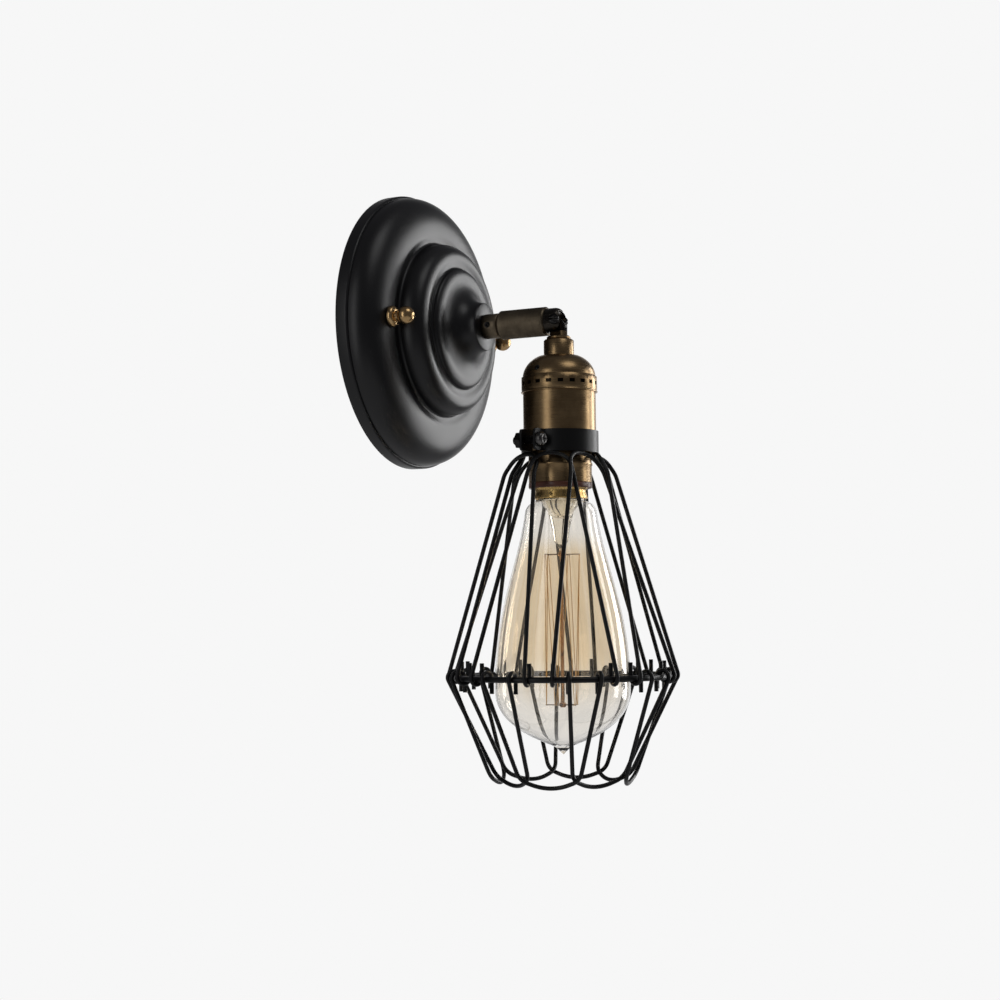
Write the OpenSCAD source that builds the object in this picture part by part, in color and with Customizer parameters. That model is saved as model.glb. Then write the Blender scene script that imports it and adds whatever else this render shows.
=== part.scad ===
// Cage wall light: a pressed steel wall plate, a short swivelling arm with a knuckle, a brass lamp
// holder and a wire cage of sixteen bent loops hooked on one ring, whose lower loops fold out so
// that the bulb can be changed.
// The wall is the plane y = 0 and the light stands out towards -y, with z up. The arm's axis is
// the y axis, and the lamp hangs from the knuckle at y = -reach.

/* [Wall plate] */
// Outside diameter of the wall plate
plate_d = 135; // [130:1:150]
// Height of the boss face above the wall
plate_depth = 44; // [42:0.5:50]
// Height of the straight skirt that meets the wall
skirt_h = 5; // [3:0.5:7]
// Thickness of the pressed sheet
plate_t = 1.2; // [0.8:0.1:1.6]
// Diameter of the outer valley ring
valley_1_d = 87; // [84:1:90]
// Height of the outer valley ring
valley_1_h = 19.3; // [18:0.1:21]
// Diameter of the inner valley ring
valley_2_d = 61; // [58:1:63]
// Height of the inner valley ring
valley_2_h = 30; // [29:0.1:32]
// Diameter of the flat boss face
boss_d = 22.8; // [20:0.2:26]

/* [Wall fixing] */
// How far outside the outer valley ring the ball nuts sit
nut_out = 6.5; // [6:0.5:9]
// Width of the bracket strap
strap_w = 18; // [14:1:24]
// Thickness of the bracket strap
strap_t = 1.6; // [1.2:0.1:2.5]
// How far the strap's ends stand off the wall
strap_rise = 4.5; // [4:0.5:6]
// Distance between the two wall screw holes
wall_hole_spread = 60; // [50:1:66]
// Diameter of the wall screw holes
wall_hole_d = 5; // [4:0.5:6]
// Thread diameter of the fixing screws
fixing_screw_d = 4; // [3:0.5:5]
// Diameter of the balls on the ball nuts
ball_d = 8.5; // [7:0.5:10]
// Diameter of the collars under the balls
ball_collar_d = 10; // [9:0.5:12]

/* [Arm] */
// Distance from the wall to the knuckle's axis
reach = 83; // [80:1:100]
// Diameter of the fixed arm base
arm_base_d = 12; // [11:0.5:13]
// Length of the arm base that shows between the boss and the sleeve
arm_base_len = 8.2; // [7:0.1:12]
// Outside diameter of the threaded nipple
nipple_d = 8; // [7:0.5:9]
// Bore for the leads through the nipple, the arm base and the fork
wire_bore_d = 4.6; // [3:0.1:5]
// Diameter of the knurled sleeve
sleeve_d = 14; // [13.9:0.1:17]
// Distance from the sleeve's front end to the knuckle's axis
sleeve_setback = 5.4; // [5.2:0.1:8]
// Diameter of the fork
fork_d = 12.2; // [11.6:0.1:13]
// How far the fork's end stands past the knuckle's axis
fork_past = 3; // [2:0.1:3.4]
// Width of the slot in the fork
fork_slot_w = 7; // [6.6:0.1:7.4]
// Diameter of the pivot screws' shanks
pivot_d = 3; // [2:0.1:3.4]

/* [Lamp holder] */
// Diameter of the bar that the knuckle's tongue is cut from
tongue_d = 8.4; // [8:0.1:8.8]
// Diameter of the collar on top of the holder
collar_d = 14.4; // [13:0.1:17]
// Height of the collar
collar_h = 7.8; // [6:0.1:9]
// Outside diameter of the holder's shell
shell_d = 34.6; // [33:0.1:36]
// Thickness of the holder's sheet brass
shell_t = 0.7; // [0.5:0.1:0.9]
// Height of the domed part of the cap
dome_h = 9.8; // [8:0.1:12]
// Height of the pierced band of the cap
pierced_h = 7.6; // [6:0.1:9]
// Number of pierced slots
pierced_n = 20; // [12:1:24]
// Width of a pierced slot
pierced_w = 2.6; // [1.5:0.1:3.4]
// Length of shell that shows between the pierced band and the clamp
shell_show = 19; // [15:0.5:30]
// Outside diameter of the holder's neck
neck_d = 30; // [29.4:0.1:31]
// Length of the neck below the clamp
neck_h = 13.9; // [12:0.1:20]
// Thickness of the insulating ring's flange
ring_flange_t = 2.8; // [2:0.1:4]

/* [Bulb] */
// Diameter of the bulb's screw cap
bulb_cap_d = 26.2; // [25.8:0.1:26.4]
// Length of the bulb's metal cap that shows below the holder
cap_show = 4.9; // [3:0.1:8]
// Largest diameter of the glass
glass_d = 64; // [60:1:66]
// Length of the glass
glass_len = 120.4; // [110:0.5:124]
// Thickness of the glass
glass_t = 0.9; // [0.7:0.1:1.2]
// Number of filament strands
strand_n = 10; // [6:2:12]

/* [Cage] */
// Height of the clamp band
band_h = 10.4; // [8:0.1:12]
// Thickness of the clamp band
band_t = 1.1; // [0.8:0.1:1.4]
// Direction of the clamp's gap, seen from above
band_turn = 169; // [0:1:359]
// Radius of the cage ring
ring_r = 51; // [49:0.5:54]
// Diameter of the cage ring's wire
ring_wire_d = 2.8; // [2.4:0.1:3]
// Diameter of the loops' wire
wire_d = 2; // [1.8:0.1:2.1]
// Distance from the knuckle's axis down to the cage ring
ring_drop = 169.5; // [166:0.5:180]
// Depth of the lower loops below the cage ring
basket_h = 49.8; // [47:0.1:56]
// Number of loops above the ring and below it
loop_n = 8; // [8:2:8]
// Direction of the first pair of loops, seen from above
cage_turn = 13.5; // [0:0.5:45]
// Bend radius of the hooks, to the middle of the wire
hook_r = 3.1; // [3:0.1:3.3]
// Length of the straight tail of a hook
hook_tail = 6.5; // [5:0.5:8]
// Half of the angle that an upper loop spans on the ring
upper_half_angle = 38.5; // [37.5:0.5:39.5]
// Half of the angle that a lower loop spans on the ring
lower_half_angle = 30.5; // [29.5:0.5:31.5]
// Distance that crossing wires are kept apart, middle to middle
crossing_gap = 3.5; // [3.4:0.1:4]

/* [Clearances] */
// Play between the pivot screws and the tongue, on the radius
pivot_play = 0.05; // [0.03:0.01:0.08]
// Play between the swivel bush and the arm base's spigot, on the radius
swivel_play = 0.05; // [0.03:0.01:0.08]
// Gap between the tongue and each cheek of the fork
cheek_gap = 0.15; // [0.1:0.05:0.4]
// Gap between the knurled sleeve and the arm base
sleeve_gap = 0.3; // [0.2:0.05:0.6]
// Play of a screw in a plain hole, on the radius
screw_play = 0.25; // [0.15:0.05:0.4]
// How far a welded or clamped wire sinks into what holds it
weld = 0.06; // [0.04:0.01:0.1]
// Gap round the bulb's cap inside the contact shell
cap_gap = 0.25; // [0.15:0.05:0.3]

/* [Hidden] */
fine = 64;      // facets of a turned surface
wire_fn = 40;   // facets round a wire
lap = 0.05;     // how far a straight wire runs into its bends
bend_swell = 0.01; // how much fatter a bend is than the wire

// ---- small geometry -------------------------------------------------------------------------

function unit(v) = v / norm(v);
function reversed(list) = [for (i = [len(list) - 1 : -1 : 0]) list[i]];

// A quarter of a superellipse from p0, where it runs along the second axis, to p1, where it runs
// along the first.
function shoulder(p0, p1, power, steps) =
  [for (i = [0 : steps])
    let (a = 90 * i / steps)
    [p1[0] + (p0[0] - p1[0]) * pow(cos(a), 2 / power),
     p0[1] + (p1[1] - p0[1]) * pow(sin(a), 2 / power)]];

// A cubic curve through a and d that leaves towards b and arrives from c.
function curve(a, b, c, d, steps) =
  [for (i = [0 : steps])
    let (t = i / steps, s = 1 - t)
    s * s * s * a + 3 * s * s * t * b + 3 * s * t * t * c + t * t * t * d];

// The same outline moved sideways by t, to its right.
function beside(line, t) =
  [for (i = [0 : len(line) - 1])
    let (a = line[max(i - 1, 0)], b = line[min(i + 1, len(line) - 1)], d = unit(b - a))
    line[i] + t * [d[1], -d[0]]];

// Turns a profile of [radius, height above the wall] about the arm's axis, standing out from
// the wall.
module turned_from_wall(profile) {
  rotate([90, 0, 0])
    rotate_extrude($fn = fine * 2)
      polygon(profile);
}

module rod_from_wall(d, from, to, fn = fine) {
  translate([0, -from, 0])
    rotate([90, 0, 0])
      cylinder(d = d, h = to - from, $fn = fn);
}

// The lamp hangs under the knuckle: places children on the lamp's axis with z = 0 at the knuckle.
module on_lamp_axis() {
  translate([0, -reach, 0])
    children();
}

module turned_on_lamp(profile) {
  on_lamp_axis()
    rotate_extrude($fn = fine * 2)
      polygon(profile);
}

// A round wire along straight runs joined by round bends. corners are the points where the runs
// would meet, and radii the bend radius at each corner between the two ends.
function turn_at(a, b) = acos(max(-1, min(1, a * b)));
function bend_in(corners, i) = unit(corners[i] - corners[i - 1]);
function bend_out(corners, i) = unit(corners[i + 1] - corners[i]);
function bend_cut(corners, radii, i) =
  i == 0 || i == len(corners) - 1 ? 0 :
  radii[i - 1] * tan(turn_at(bend_in(corners, i), bend_out(corners, i)) / 2);

module bent_wire(corners, radii, d) {
  last = len(corners) - 1;
  for (i = [0 : last - 1]) {
    dir = unit(corners[i + 1] - corners[i]);
    start = corners[i] + dir * (bend_cut(corners, radii, i) - (i == 0 ? 0 : lap));
    end = corners[i + 1] - dir * (bend_cut(corners, radii, i + 1) - (i + 1 == last ? 0 : lap));
    straight_wire(start, end, d);
  }
  for (i = [1 : last - 1])
    wire_bend(corners[i] - bend_in(corners, i) * bend_cut(corners, radii, i),
              bend_in(corners, i), bend_out(corners, i), radii[i - 1], d + 2 * bend_swell);
}

module straight_wire(start, end, d) {
  z = unit(end - start);
  x = unit(cross(abs(z[2]) < 0.9 ? [0, 0, 1] : [1, 0, 0], z));
  y = cross(z, x);
  multmatrix([[x[0], y[0], z[0], start[0]], [x[1], y[1], z[1], start[1]],
              [x[2], y[2], z[2], start[2]], [0, 0, 0, 1]])
    cylinder(d = d, h = norm(end - start), $fn = wire_fn);
}

module wire_bend(start, dir_in, dir_out, r, d) {
  n = unit(dir_out - (dir_in * dir_out) * dir_in);
  axis = cross(dir_in, n);
  c = start + n * r;
  multmatrix([[-n[0], dir_in[0], axis[0], c[0]], [-n[1], dir_in[1], axis[1], c[1]],
              [-n[2], dir_in[2], axis[2], c[2]], [0, 0, 0, 1]])
    rotate_extrude(angle = turn_at(dir_in, dir_out), $fn = wire_fn * 2)
      translate([r, 0])
        circle(d = d, $fn = wire_fn);
}

// ---- wall plate -----------------------------------------------------------------------------

plate_r = plate_d / 2;
boss_r = boss_d / 2;
valley_fillet = 1.3;
crest_width = 4;
crest_rise = 0.6;
crest_1 = [valley_1_d / 2 + crest_width, valley_1_h + crest_rise];
crest_2 = [valley_2_d / 2 + crest_width, valley_2_h + crest_rise];
bell_shelf = [valley_2_d / 2 - 6, valley_2_h + 3.4];
edge_round = 1.2;

// From the wall up the skirt, over two rolled shoulders and up the bell to the boss.
function plate_outline() = concat(
  [[plate_r, 0], [plate_r, skirt_h]],
  shoulder([plate_r, skirt_h], [plate_r - edge_round, skirt_h + edge_round], 2, 4),
  shoulder([plate_r - edge_round, skirt_h + edge_round], crest_1, 2.3, 14),
  valley(crest_1, [valley_1_d / 2, valley_1_h]),
  shoulder([valley_1_d / 2 - valley_fillet, valley_1_h + valley_fillet], crest_2, 2.3, 12),
  valley(crest_2, [valley_2_d / 2, valley_2_h]),
  shoulder([valley_2_d / 2 - valley_fillet, valley_2_h + valley_fillet], bell_shelf, 2, 6),
  [for (i = [1 : 10])
    let (a = 9 * i)
    [bell_shelf[0] - (bell_shelf[0] - boss_r - 0.3) * sin(a),
     plate_depth - 0.5 - (plate_depth - 0.5 - bell_shelf[1]) * cos(a)]],
  [[boss_r, plate_depth]]);

// Down from a crest to a valley and round its fillet, to where the next shoulder rises.
function valley(crest, low) = concat(
  [for (i = [1 : 5])
    let (t = i / 5)
    [crest[0] + (low[0] - crest[0]) * t, low[1] + (crest[1] - low[1]) * (1 + cos(180 * t)) / 2]],
  [for (a = [255 : -15 : 195])
    low + valley_fillet * [cos(a), 1 + sin(a)]]);

module canopy() {
  outline = [for (i = [0 : len(plate_outline()) - 1])
    if (i == 0 || norm(plate_outline()[i] - plate_outline()[i - 1]) > 0.01) plate_outline()[i]];
  color([0.07, 0.07, 0.08])
    difference() {
      turned_from_wall(concat(
        outline, [[nipple_d / 2 + screw_play, plate_depth]],
        [[nipple_d / 2 + screw_play, plate_depth - plate_t]],
        reversed([for (p = beside(outline, -plate_t))
          [min(p[0], plate_r - plate_t), max(0, min(p[1], plate_depth - plate_t))]])));
      for (side = [-1, 1])
        translate([side * fixing_spread / 2, 0, 0])
          rod_from_wall(fixing_screw_d + 2 * screw_play, valley_1_h / 2, plate_depth);
    }
}

// The two fixing screws stand on the roll outside the outer valley.
fixing_spread = valley_1_d + 2 * nut_out;

// A steel strap flat on the wall in the middle and joggled up at its ends.
strap_len = fixing_spread + 12;
strap_flat = wall_hole_spread / 2 + 8;
strap_ramp = 5;

module mounting_bracket() {
  outer = [[-strap_len / 2, strap_rise + strap_t], [-strap_len / 2, strap_rise],
    [-strap_flat - strap_ramp, strap_rise], [-strap_flat, 0],
    [strap_flat, 0], [strap_flat + strap_ramp, strap_rise],
    [strap_len / 2, strap_rise], [strap_len / 2, strap_rise + strap_t],
    [strap_flat + strap_ramp - 1, strap_rise + strap_t], [strap_flat - 1, strap_t],
    [-strap_flat + 1, strap_t], [-strap_flat - strap_ramp + 1, strap_rise + strap_t]];
  color([0.72, 0.72, 0.7])
    difference() {
      translate([0, 0, -strap_w / 2])
        linear_extrude(strap_w)
          polygon([for (p = outer) [p[0], -p[1]]]);
      for (side = [-1, 1]) {
        translate([side * wall_hole_spread / 2, 0, 0])
          rod_from_wall(wall_hole_d, -1, strap_t + 1);
        translate([side * fixing_spread / 2, 0, 0])
          rod_from_wall(fixing_screw_d, strap_rise - 1, strap_rise + strap_t + 1);
      }
      rod_from_wall(cable_hole_d, -1, strap_t + 1);
      translate([earth_x, 0, 0])
        rod_from_wall(earth_screw_d, -1, strap_t + 1);
    }
}

cable_hole_d = 10;
earth_x = 17;
earth_screw_d = 4;
fixing_head_h = 2.4;
fixing_head_d = 1.9 * fixing_screw_d;
driver_slot_w = 0.9;
driver_slot_depth = 1;
nut_seat = crest_1[1] - 0.05;
ball_neck_h = 1.2;
ball_collar_h = 3;

// Two machine screws pushed through the strap from behind, with their heads in its joggle.
module fixing_screws() {
  color([0.75, 0.75, 0.72])
    for (side = [-1, 1])
      translate([side * fixing_spread / 2, 0, 0])
        difference() {
          union() {
            rod_from_wall(fixing_screw_d, strap_rise - lap, nut_seat + ball_collar_h + ball_neck_h);
            rod_from_wall(fixing_head_d, strap_rise - fixing_head_h, strap_rise);
          }
          translate([0, -strap_rise + fixing_head_h, 0])
            cube([1.2 * fixing_head_d, 2 * driver_slot_depth, driver_slot_w], center = true);
        }
}

// Turned brass nuts: a rounded collar, a short neck and a ball.
module ball_nuts() {
  seat = nut_seat;
  top = seat + ball_collar_h;
  ball_mid = top + ball_neck_h + ball_d / 2 - 0.6;
  color([0.83, 0.62, 0.3])
    for (side = [-1, 1])
      translate([side * fixing_spread / 2, 0, 0])
        difference() {
          union() {
            turned_from_wall(concat(
              [[0, seat], [ball_collar_d / 2 - 0.4, seat], [ball_collar_d / 2, seat + 0.4],
               [ball_collar_d / 2, seat + 1.2]],
              shoulder([ball_collar_d / 2, seat + 1.2], [ball_d * 0.3, top], 2, 6),
              [[ball_d * 0.28, ball_mid - 1], [0, ball_mid - 1]]));
            translate([0, -ball_mid, 0])
              sphere(d = ball_d, $fn = fine);
          }
          rod_from_wall(fixing_screw_d, seat - 1, top + ball_neck_h);
        }
}

// ---- arm ------------------------------------------------------------------------------------

nipple_back = plate_depth - 15;
nipple_in_base = 6.5;
nipple_nut_h = 4;
nipple_washer_t = 1;
spigot_d = 8;
clip_t = 0.8;
clip_d = 10;
clip_groove_depth = 0.7;
clip_play = 0.1;
spigot_past_clip = 0.7;
spigot_clear = 1.5;
tongue_r = tongue_d / 2;
slot_back = reach - tongue_r - 0.7;
fork_shank = 9.9;
fork_back = slot_back - fork_shank;
fork_front = reach + fork_past;
base_front = plate_depth + arm_base_len;
spigot_front = fork_back - spigot_clear;
clip_front = spigot_front - spigot_past_clip;
clip_back = clip_front - clip_t;
bush_front = clip_back - clip_play;
sleeve_back = base_front + sleeve_gap;
sleeve_front = reach - sleeve_setback;

module threaded_nipple() {
  color([0.75, 0.7, 0.55])
    difference() {
      rod_from_wall(nipple_d, nipple_back, plate_depth + nipple_in_base);
      rod_from_wall(wire_bore_d, nipple_back - 1, plate_depth + nipple_in_base + 1);
    }
}

module nipple_washer() {
  color([0.75, 0.75, 0.72])
    difference() {
      rod_from_wall(nipple_d * 2, plate_depth - plate_t - nipple_washer_t, plate_depth - plate_t);
      rod_from_wall(nipple_d + 2 * screw_play, 0, plate_depth);
    }
}

module nipple_nut() {
  front = plate_depth - plate_t - nipple_washer_t;
  color([0.75, 0.75, 0.72])
    difference() {
      rod_from_wall(nipple_d * 1.75, front - nipple_nut_h, front, 6);
      rod_from_wall(nipple_d, 0, plate_depth);
    }
}

// The fixed part of the arm: it screws on the nipple and carries the spigot that the rest of
// the arm turns on.
module arm_base() {
  edge = 0.5;
  color([0.25, 0.22, 0.19])
    difference() {
      turned_from_wall([[0, plate_depth], [arm_base_d / 2 - edge, plate_depth],
        [arm_base_d / 2, plate_depth + edge], [arm_base_d / 2, base_front - edge],
        [arm_base_d / 2 - edge, base_front], [spigot_d / 2, base_front],
        [spigot_d / 2, clip_back], [spigot_d / 2 - clip_groove_depth, clip_back],
        [spigot_d / 2 - clip_groove_depth, clip_front], [spigot_d / 2, clip_front],
        [spigot_d / 2, spigot_front], [0, spigot_front]]);
      rod_from_wall(nipple_d, plate_depth - 1, plate_depth + nipple_in_base);
      rod_from_wall(wire_bore_d, plate_depth, spigot_front + 1);
      translate([0, -base_screw_at, 0])
        rotate([0, -90, 0])
          cylinder(d = base_screw_d, h = arm_base_d, $fn = fine);
    }
}

base_screw_at = plate_depth + 3.6;
base_screw_d = 3;

// A headless screw with a hexagon socket, level with the arm base's side.
module base_set_screw() {
  depth = arm_base_d / 2 - nipple_d / 2;
  color([0.3, 0.27, 0.23])
    translate([-nipple_d / 2, -base_screw_at, 0])
      rotate([0, -90, 0])
        difference() {
          cylinder(d = base_screw_d, h = depth - 0.3, $fn = fine);
          translate([0, 0, 0.8])
            cylinder(d = 1.6, h = depth, $fn = 6);
        }
}

// An open spring clip in the spigot's groove, which keeps the bush on.
module swivel_clip() {
  color([0.4, 0.4, 0.42])
    difference() {
      rod_from_wall(clip_d, clip_back, clip_front);
      rod_from_wall(spigot_d - 2 * clip_groove_depth, clip_back - 1, clip_front + 1);
      translate([0, -clip_back, clip_d / 2])
        cube([spigot_d / 2, 4, clip_d], center = true);
    }
}

module swivel_bush() {
  color([0.75, 0.6, 0.35])
    difference() {
      rod_from_wall(fork_d, sleeve_back, bush_front);
      rod_from_wall(spigot_d + 2 * swivel_play, sleeve_back - 1, bush_front + 1);
    }
}

// The hand grip of the swivel, pressed over the bush and the fork's shank.
module knurled_sleeve() {
  edge = 0.8;
  color([0.33, 0.29, 0.25])
    turned_from_wall([[fork_d / 2, sleeve_back], [sleeve_d / 2 - edge, sleeve_back],
      [sleeve_d / 2, sleeve_back + edge], [sleeve_d / 2, sleeve_front - edge],
      [sleeve_d / 2 - edge, sleeve_front], [fork_d / 2, sleeve_front]]);
}

// A round bar with a domed end, slotted from below and in front, with a roof over the tongue.
tongue_half = fork_slot_w / 2 - cheek_gap;
slot_roof = tongue_r + 0.3;
dome_len = 4.6;
pivot_head_d = 4.8;
pivot_head_h = 1.2;
pivot_sink = 0.3;
pivot_engage = 1.1;

module arm_fork() {
  dome_from = [fork_d / 2, fork_front - dome_len];
  color([0.12, 0.11, 0.1])
    difference() {
      turned_from_wall(concat(
        [[0, fork_back], [fork_d / 2, fork_back]],
        shoulder(dome_from, [0, fork_front], 2.4, 12)));
      rod_from_wall(wire_bore_d, fork_back - 1, slot_back + 1);
      translate([-fork_slot_w / 2, -fork_front - 1, -fork_d])
        cube([fork_slot_w, fork_front + 1 - slot_back, fork_d + slot_roof]);
      across_pivot(pivot_d, fork_d / 2 + 1);
      for (side = [-1, 1])
        translate([side * (fork_d / 2 - pivot_head_h - pivot_sink + 1), -reach, 0])
          rotate([0, 90, 0])
            cylinder(d = pivot_head_d, h = 2, center = true, $fn = fine);
    }
}

// A bar along the knuckle's axis, to cut holes with.
module across_pivot(d, half) {
  translate([-half, -reach, 0])
    rotate([0, 90, 0])
      cylinder(d = d, h = 2 * half, $fn = fine);
}

// Two slotted screws, one through each cheek. Their ends are journals in the tongue and leave
// its middle free for the leads.
module pivot_screws() {
  head_face = fork_d / 2 - pivot_sink;
  color([0.12, 0.12, 0.12])
    for (side = [-1, 1])
      translate([0, -reach, 0])
        rotate([0, side * 90, 0])
          difference() {
            union() {
              translate([0, 0, head_face - pivot_head_h])
                cylinder(d = pivot_head_d, h = pivot_head_h, $fn = fine);
              translate([0, 0, tongue_half - pivot_engage])
                cylinder(d = pivot_d, h = head_face - pivot_head_h + lap - tongue_half + pivot_engage,
                         $fn = fine);
            }
            translate([0, 0, head_face])
              cube([0.8, pivot_head_d + 1, 1.2], center = true);
          }
}

// ---- lamp holder ----------------------------------------------------------------------------
// Heights below are measured down from the knuckle's axis.

foot_top = -7.6;
foot_h = 1.8;
foot_d = 11.4;
collar_top = foot_top - foot_h;
cap_top = collar_top - collar_h;
groove_z = cap_top - dome_h;
pierced_top = groove_z - 0.4;
pierced_bottom = pierced_top - pierced_h;
band_top = pierced_bottom - shell_show + 0.4;
band_bottom = band_top - band_h;
shell_step = band_bottom + 1.6;
neck_bottom = band_bottom - neck_h;
holder_bottom = neck_bottom - ring_flange_t;
cap_bottom = holder_bottom - cap_show;
shell_r = shell_d / 2;
neck_r = neck_d / 2;
spigot_r = 4.9;
eye_tilt = 28;
eye_offset = 2.4;
eye_d = 4.4;
eye_mouth_d = 6.2;

// The moving half of the knuckle: a round bar with two flats and a ball end, an eye through
// which the leads come out of the fork, a foot, and a threaded spigot that goes into the holder.
module knuckle_tongue() {
  spigot_bottom = cap_top - 5;
  color([0.62, 0.48, 0.27])
    difference() {
      union() {
        on_lamp_axis()
          intersection() {
            union() {
              sphere(d = tongue_d, $fn = fine);
              translate([0, 0, foot_top - lap])
                cylinder(d = tongue_d, h = -foot_top + lap, $fn = fine);
            }
            cube([2 * tongue_half, tongue_d + 1, -3 * foot_top], center = true);
            rotate([-eye_tilt, 0, 0])
              translate([-tongue_d, -eye_offset, -4 * tongue_d])
                cube([2 * tongue_d, 4 * tongue_d, 8 * tongue_d]);
          }
        turned_on_lamp([[0, foot_top], [foot_d / 2 - 0.7, foot_top], [foot_d / 2, foot_top - 0.6],
          [foot_d / 2, collar_top], [spigot_r, collar_top], [spigot_r, spigot_bottom],
          [0, spigot_bottom]]);
      }
      on_lamp_axis() {
        translate([0, 0, spigot_bottom - 1])
          cylinder(d = eye_d, h = 1 - spigot_bottom, $fn = fine);
        rotate([90 - eye_tilt, 0, 0]) {
          cylinder(d = eye_d, h = tongue_d, $fn = fine);
          translate([0, 0, eye_offset - (eye_mouth_d - eye_d) / 2])
            cylinder(d1 = eye_d, d2 = eye_mouth_d, h = (eye_mouth_d - eye_d) / 2, $fn = fine);
        }
      }
      across_pivot(pivot_d + 2 * pivot_play, tongue_d);
    }
}

module holder_collar() {
  edge = 0.6;
  color([0.66, 0.52, 0.3])
    turned_on_lamp([[spigot_r, collar_top], [collar_d / 2 - edge, collar_top],
      [collar_d / 2, collar_top - edge], [collar_d / 2, cap_top], [spigot_r, cap_top]]);
}

// Pressed dome and pierced band in one sheet. The band has a bead at its lower edge.
dome_top_r = 6;
dome_crown = cap_top + 0.6;
pierced_r = shell_r + shell_t;

function cap_outline() = concat(
  [for (p = reversed(shoulder([shell_r, groove_z], [dome_top_r, dome_crown], 1.8, 16)))
    if (p[1] < cap_top - 0.05) p],
  [[shell_r, groove_z - 0.1], [pierced_r, pierced_top - 0.2], [pierced_r, pierced_bottom + 1.4],
   [pierced_r - 0.2, pierced_bottom + 1.1], [pierced_r - 0.2, pierced_bottom + 0.9],
   [pierced_r + 0.2, pierced_bottom + 0.5], [pierced_r + 0.2, pierced_bottom + 0.1],
   [pierced_r, pierced_bottom]]);

module holder_cap() {
  slot_z = (pierced_top + pierced_bottom) / 2 + 0.4;
  slot_h = 1.7;
  color([0.6, 0.47, 0.27])
    difference() {
      turned_on_lamp(concat(
        [[spigot_r, cap_top]], cap_outline(),
        [[shell_r, pierced_bottom], [shell_r, groove_z - 0.6], [shell_r - shell_t, groove_z]],
        [for (p = shoulder([shell_r - shell_t, groove_z],
                           [dome_top_r - shell_t, dome_crown - shell_t - 0.3], 1.8, 12))
          if (p[1] < cap_top - shell_t - 0.05) p],
        [[spigot_r, cap_top - shell_t]]));
      on_lamp_axis()
        for (i = [0 : pierced_n - 1])
          rotate([0, 0, 360 * (i + 0.5) / pierced_n])
            translate([shell_r, 0, slot_z])
              cube([4, pierced_w, slot_h], center = true);
      on_lamp_axis()
        cap_screw_place()
          cylinder(d = cap_screw_d, h = 8, center = true, $fn = fine);
    }
}

// A small grub screw low on the dome keeps the cap on the shell.
cap_screw_d = 2.6;
cap_screw_turn = 167;
cap_screw_z = groove_z + 2.6;
cap_screw_r = 16.3;
cap_screw_lean = 62;

module cap_screw_place() {
  rotate([0, 0, cap_screw_turn])
    translate([cap_screw_r, 0, cap_screw_z])
      rotate([0, cap_screw_lean, 0])
        children();
}

module cap_screw() {
  color([0.35, 0.28, 0.18])
    on_lamp_axis()
      cap_screw_place()
        difference() {
          translate([0, 0, -2.6])
            cylinder(d = cap_screw_d, h = 3.3, $fn = fine);
          translate([0, 0, 0.7])
            cube([0.5, cap_screw_d + 1, 1], center = true);
        }
}

// Drawn shell: plain barrel, a rounded step under the clamp and a beaded neck.
module holder_shell() {
  top = pierced_top - 1;
  bead_z = band_bottom - 5.4;
  outer = concat(
    [[shell_r, top], [shell_r, shell_step + 1.6]],
    shoulder([shell_r, shell_step + 1.6], [neck_r + 0.5, shell_step], 2, 6),
    [[neck_r, shell_step - 0.5], [neck_r, bead_z + 0.8], [neck_r + 0.4, bead_z + 0.3],
     [neck_r + 0.4, bead_z - 0.3], [neck_r, bead_z - 0.8], [neck_r, neck_bottom]]);
  inner = [[neck_r - shell_t, neck_bottom], [neck_r - shell_t, shell_step + shell_t],
    [shell_r - shell_t - 0.8, shell_step + shell_t + 0.4],
    [shell_r - shell_t, shell_step + shell_t + 1.6], [shell_r - shell_t, top]];
  color([0.63, 0.49, 0.28])
    turned_on_lamp(concat(outer, inner));
}

// Inside the shell: a fibre liner, a moulded core with the terminals, the screw shell and the
// centre contact.
liner_t = 0.6;
core_top = pierced_bottom - 4;
core_bottom = core_top - 12;
contact_r = bulb_cap_d / 2 + cap_gap;
contact_t = 0.4;
bulb_top = cap_bottom + 26.7;

module holder_liner() {
  color([0.55, 0.45, 0.33])
    turned_on_lamp([[shell_r - shell_t, pierced_top - 2], [shell_r - shell_t, shell_step + 2.8],
      [shell_r - shell_t - liner_t, shell_step + 2.8], [shell_r - shell_t - liner_t, pierced_top - 2]]);
}

module holder_core() {
  r = shell_r - shell_t - liner_t;
  color([0.85, 0.82, 0.76])
    on_lamp_axis()
      difference() {
        translate([0, 0, core_bottom])
          cylinder(r = r, h = core_top - core_bottom, $fn = fine);
        for (side = [-1, 1])
          translate([side * r * 0.55, 0, core_top])
            cube([r * 0.5, r * 0.6, 9], center = true);
        translate([0, 0, core_bottom - 1])
          cylinder(r = 5, h = 3, $fn = fine);
      }
}

module contact_shell() {
  color([0.8, 0.62, 0.32])
    turned_on_lamp([[contact_r, core_bottom - contact_t], [contact_r, neck_bottom + 1],
      [contact_r + contact_t, neck_bottom + 1], [contact_r + contact_t, core_bottom],
      [6.2, core_bottom], [6.2, core_bottom - contact_t]]);
}

// A sprung tongue under the core, bent down to meet the bulb.
module centre_contact() {
  t = 0.4;
  top = core_bottom + 2;
  color([0.8, 0.62, 0.32])
    on_lamp_axis()
      rotate([90, 0, 0])
        translate([0, 0, -2])
          linear_extrude(4)
            polygon([[-4.6, top], [-4.6, top - t], [-1.6, bulb_top], [1.6, bulb_top],
              [4.6, top - 3], [4.6 - t, top - 3], [1.6 - t / 2, bulb_top + t],
              [-1.6 + t, bulb_top + t], [-4.6 + 2 * t, top]]);
}

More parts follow.
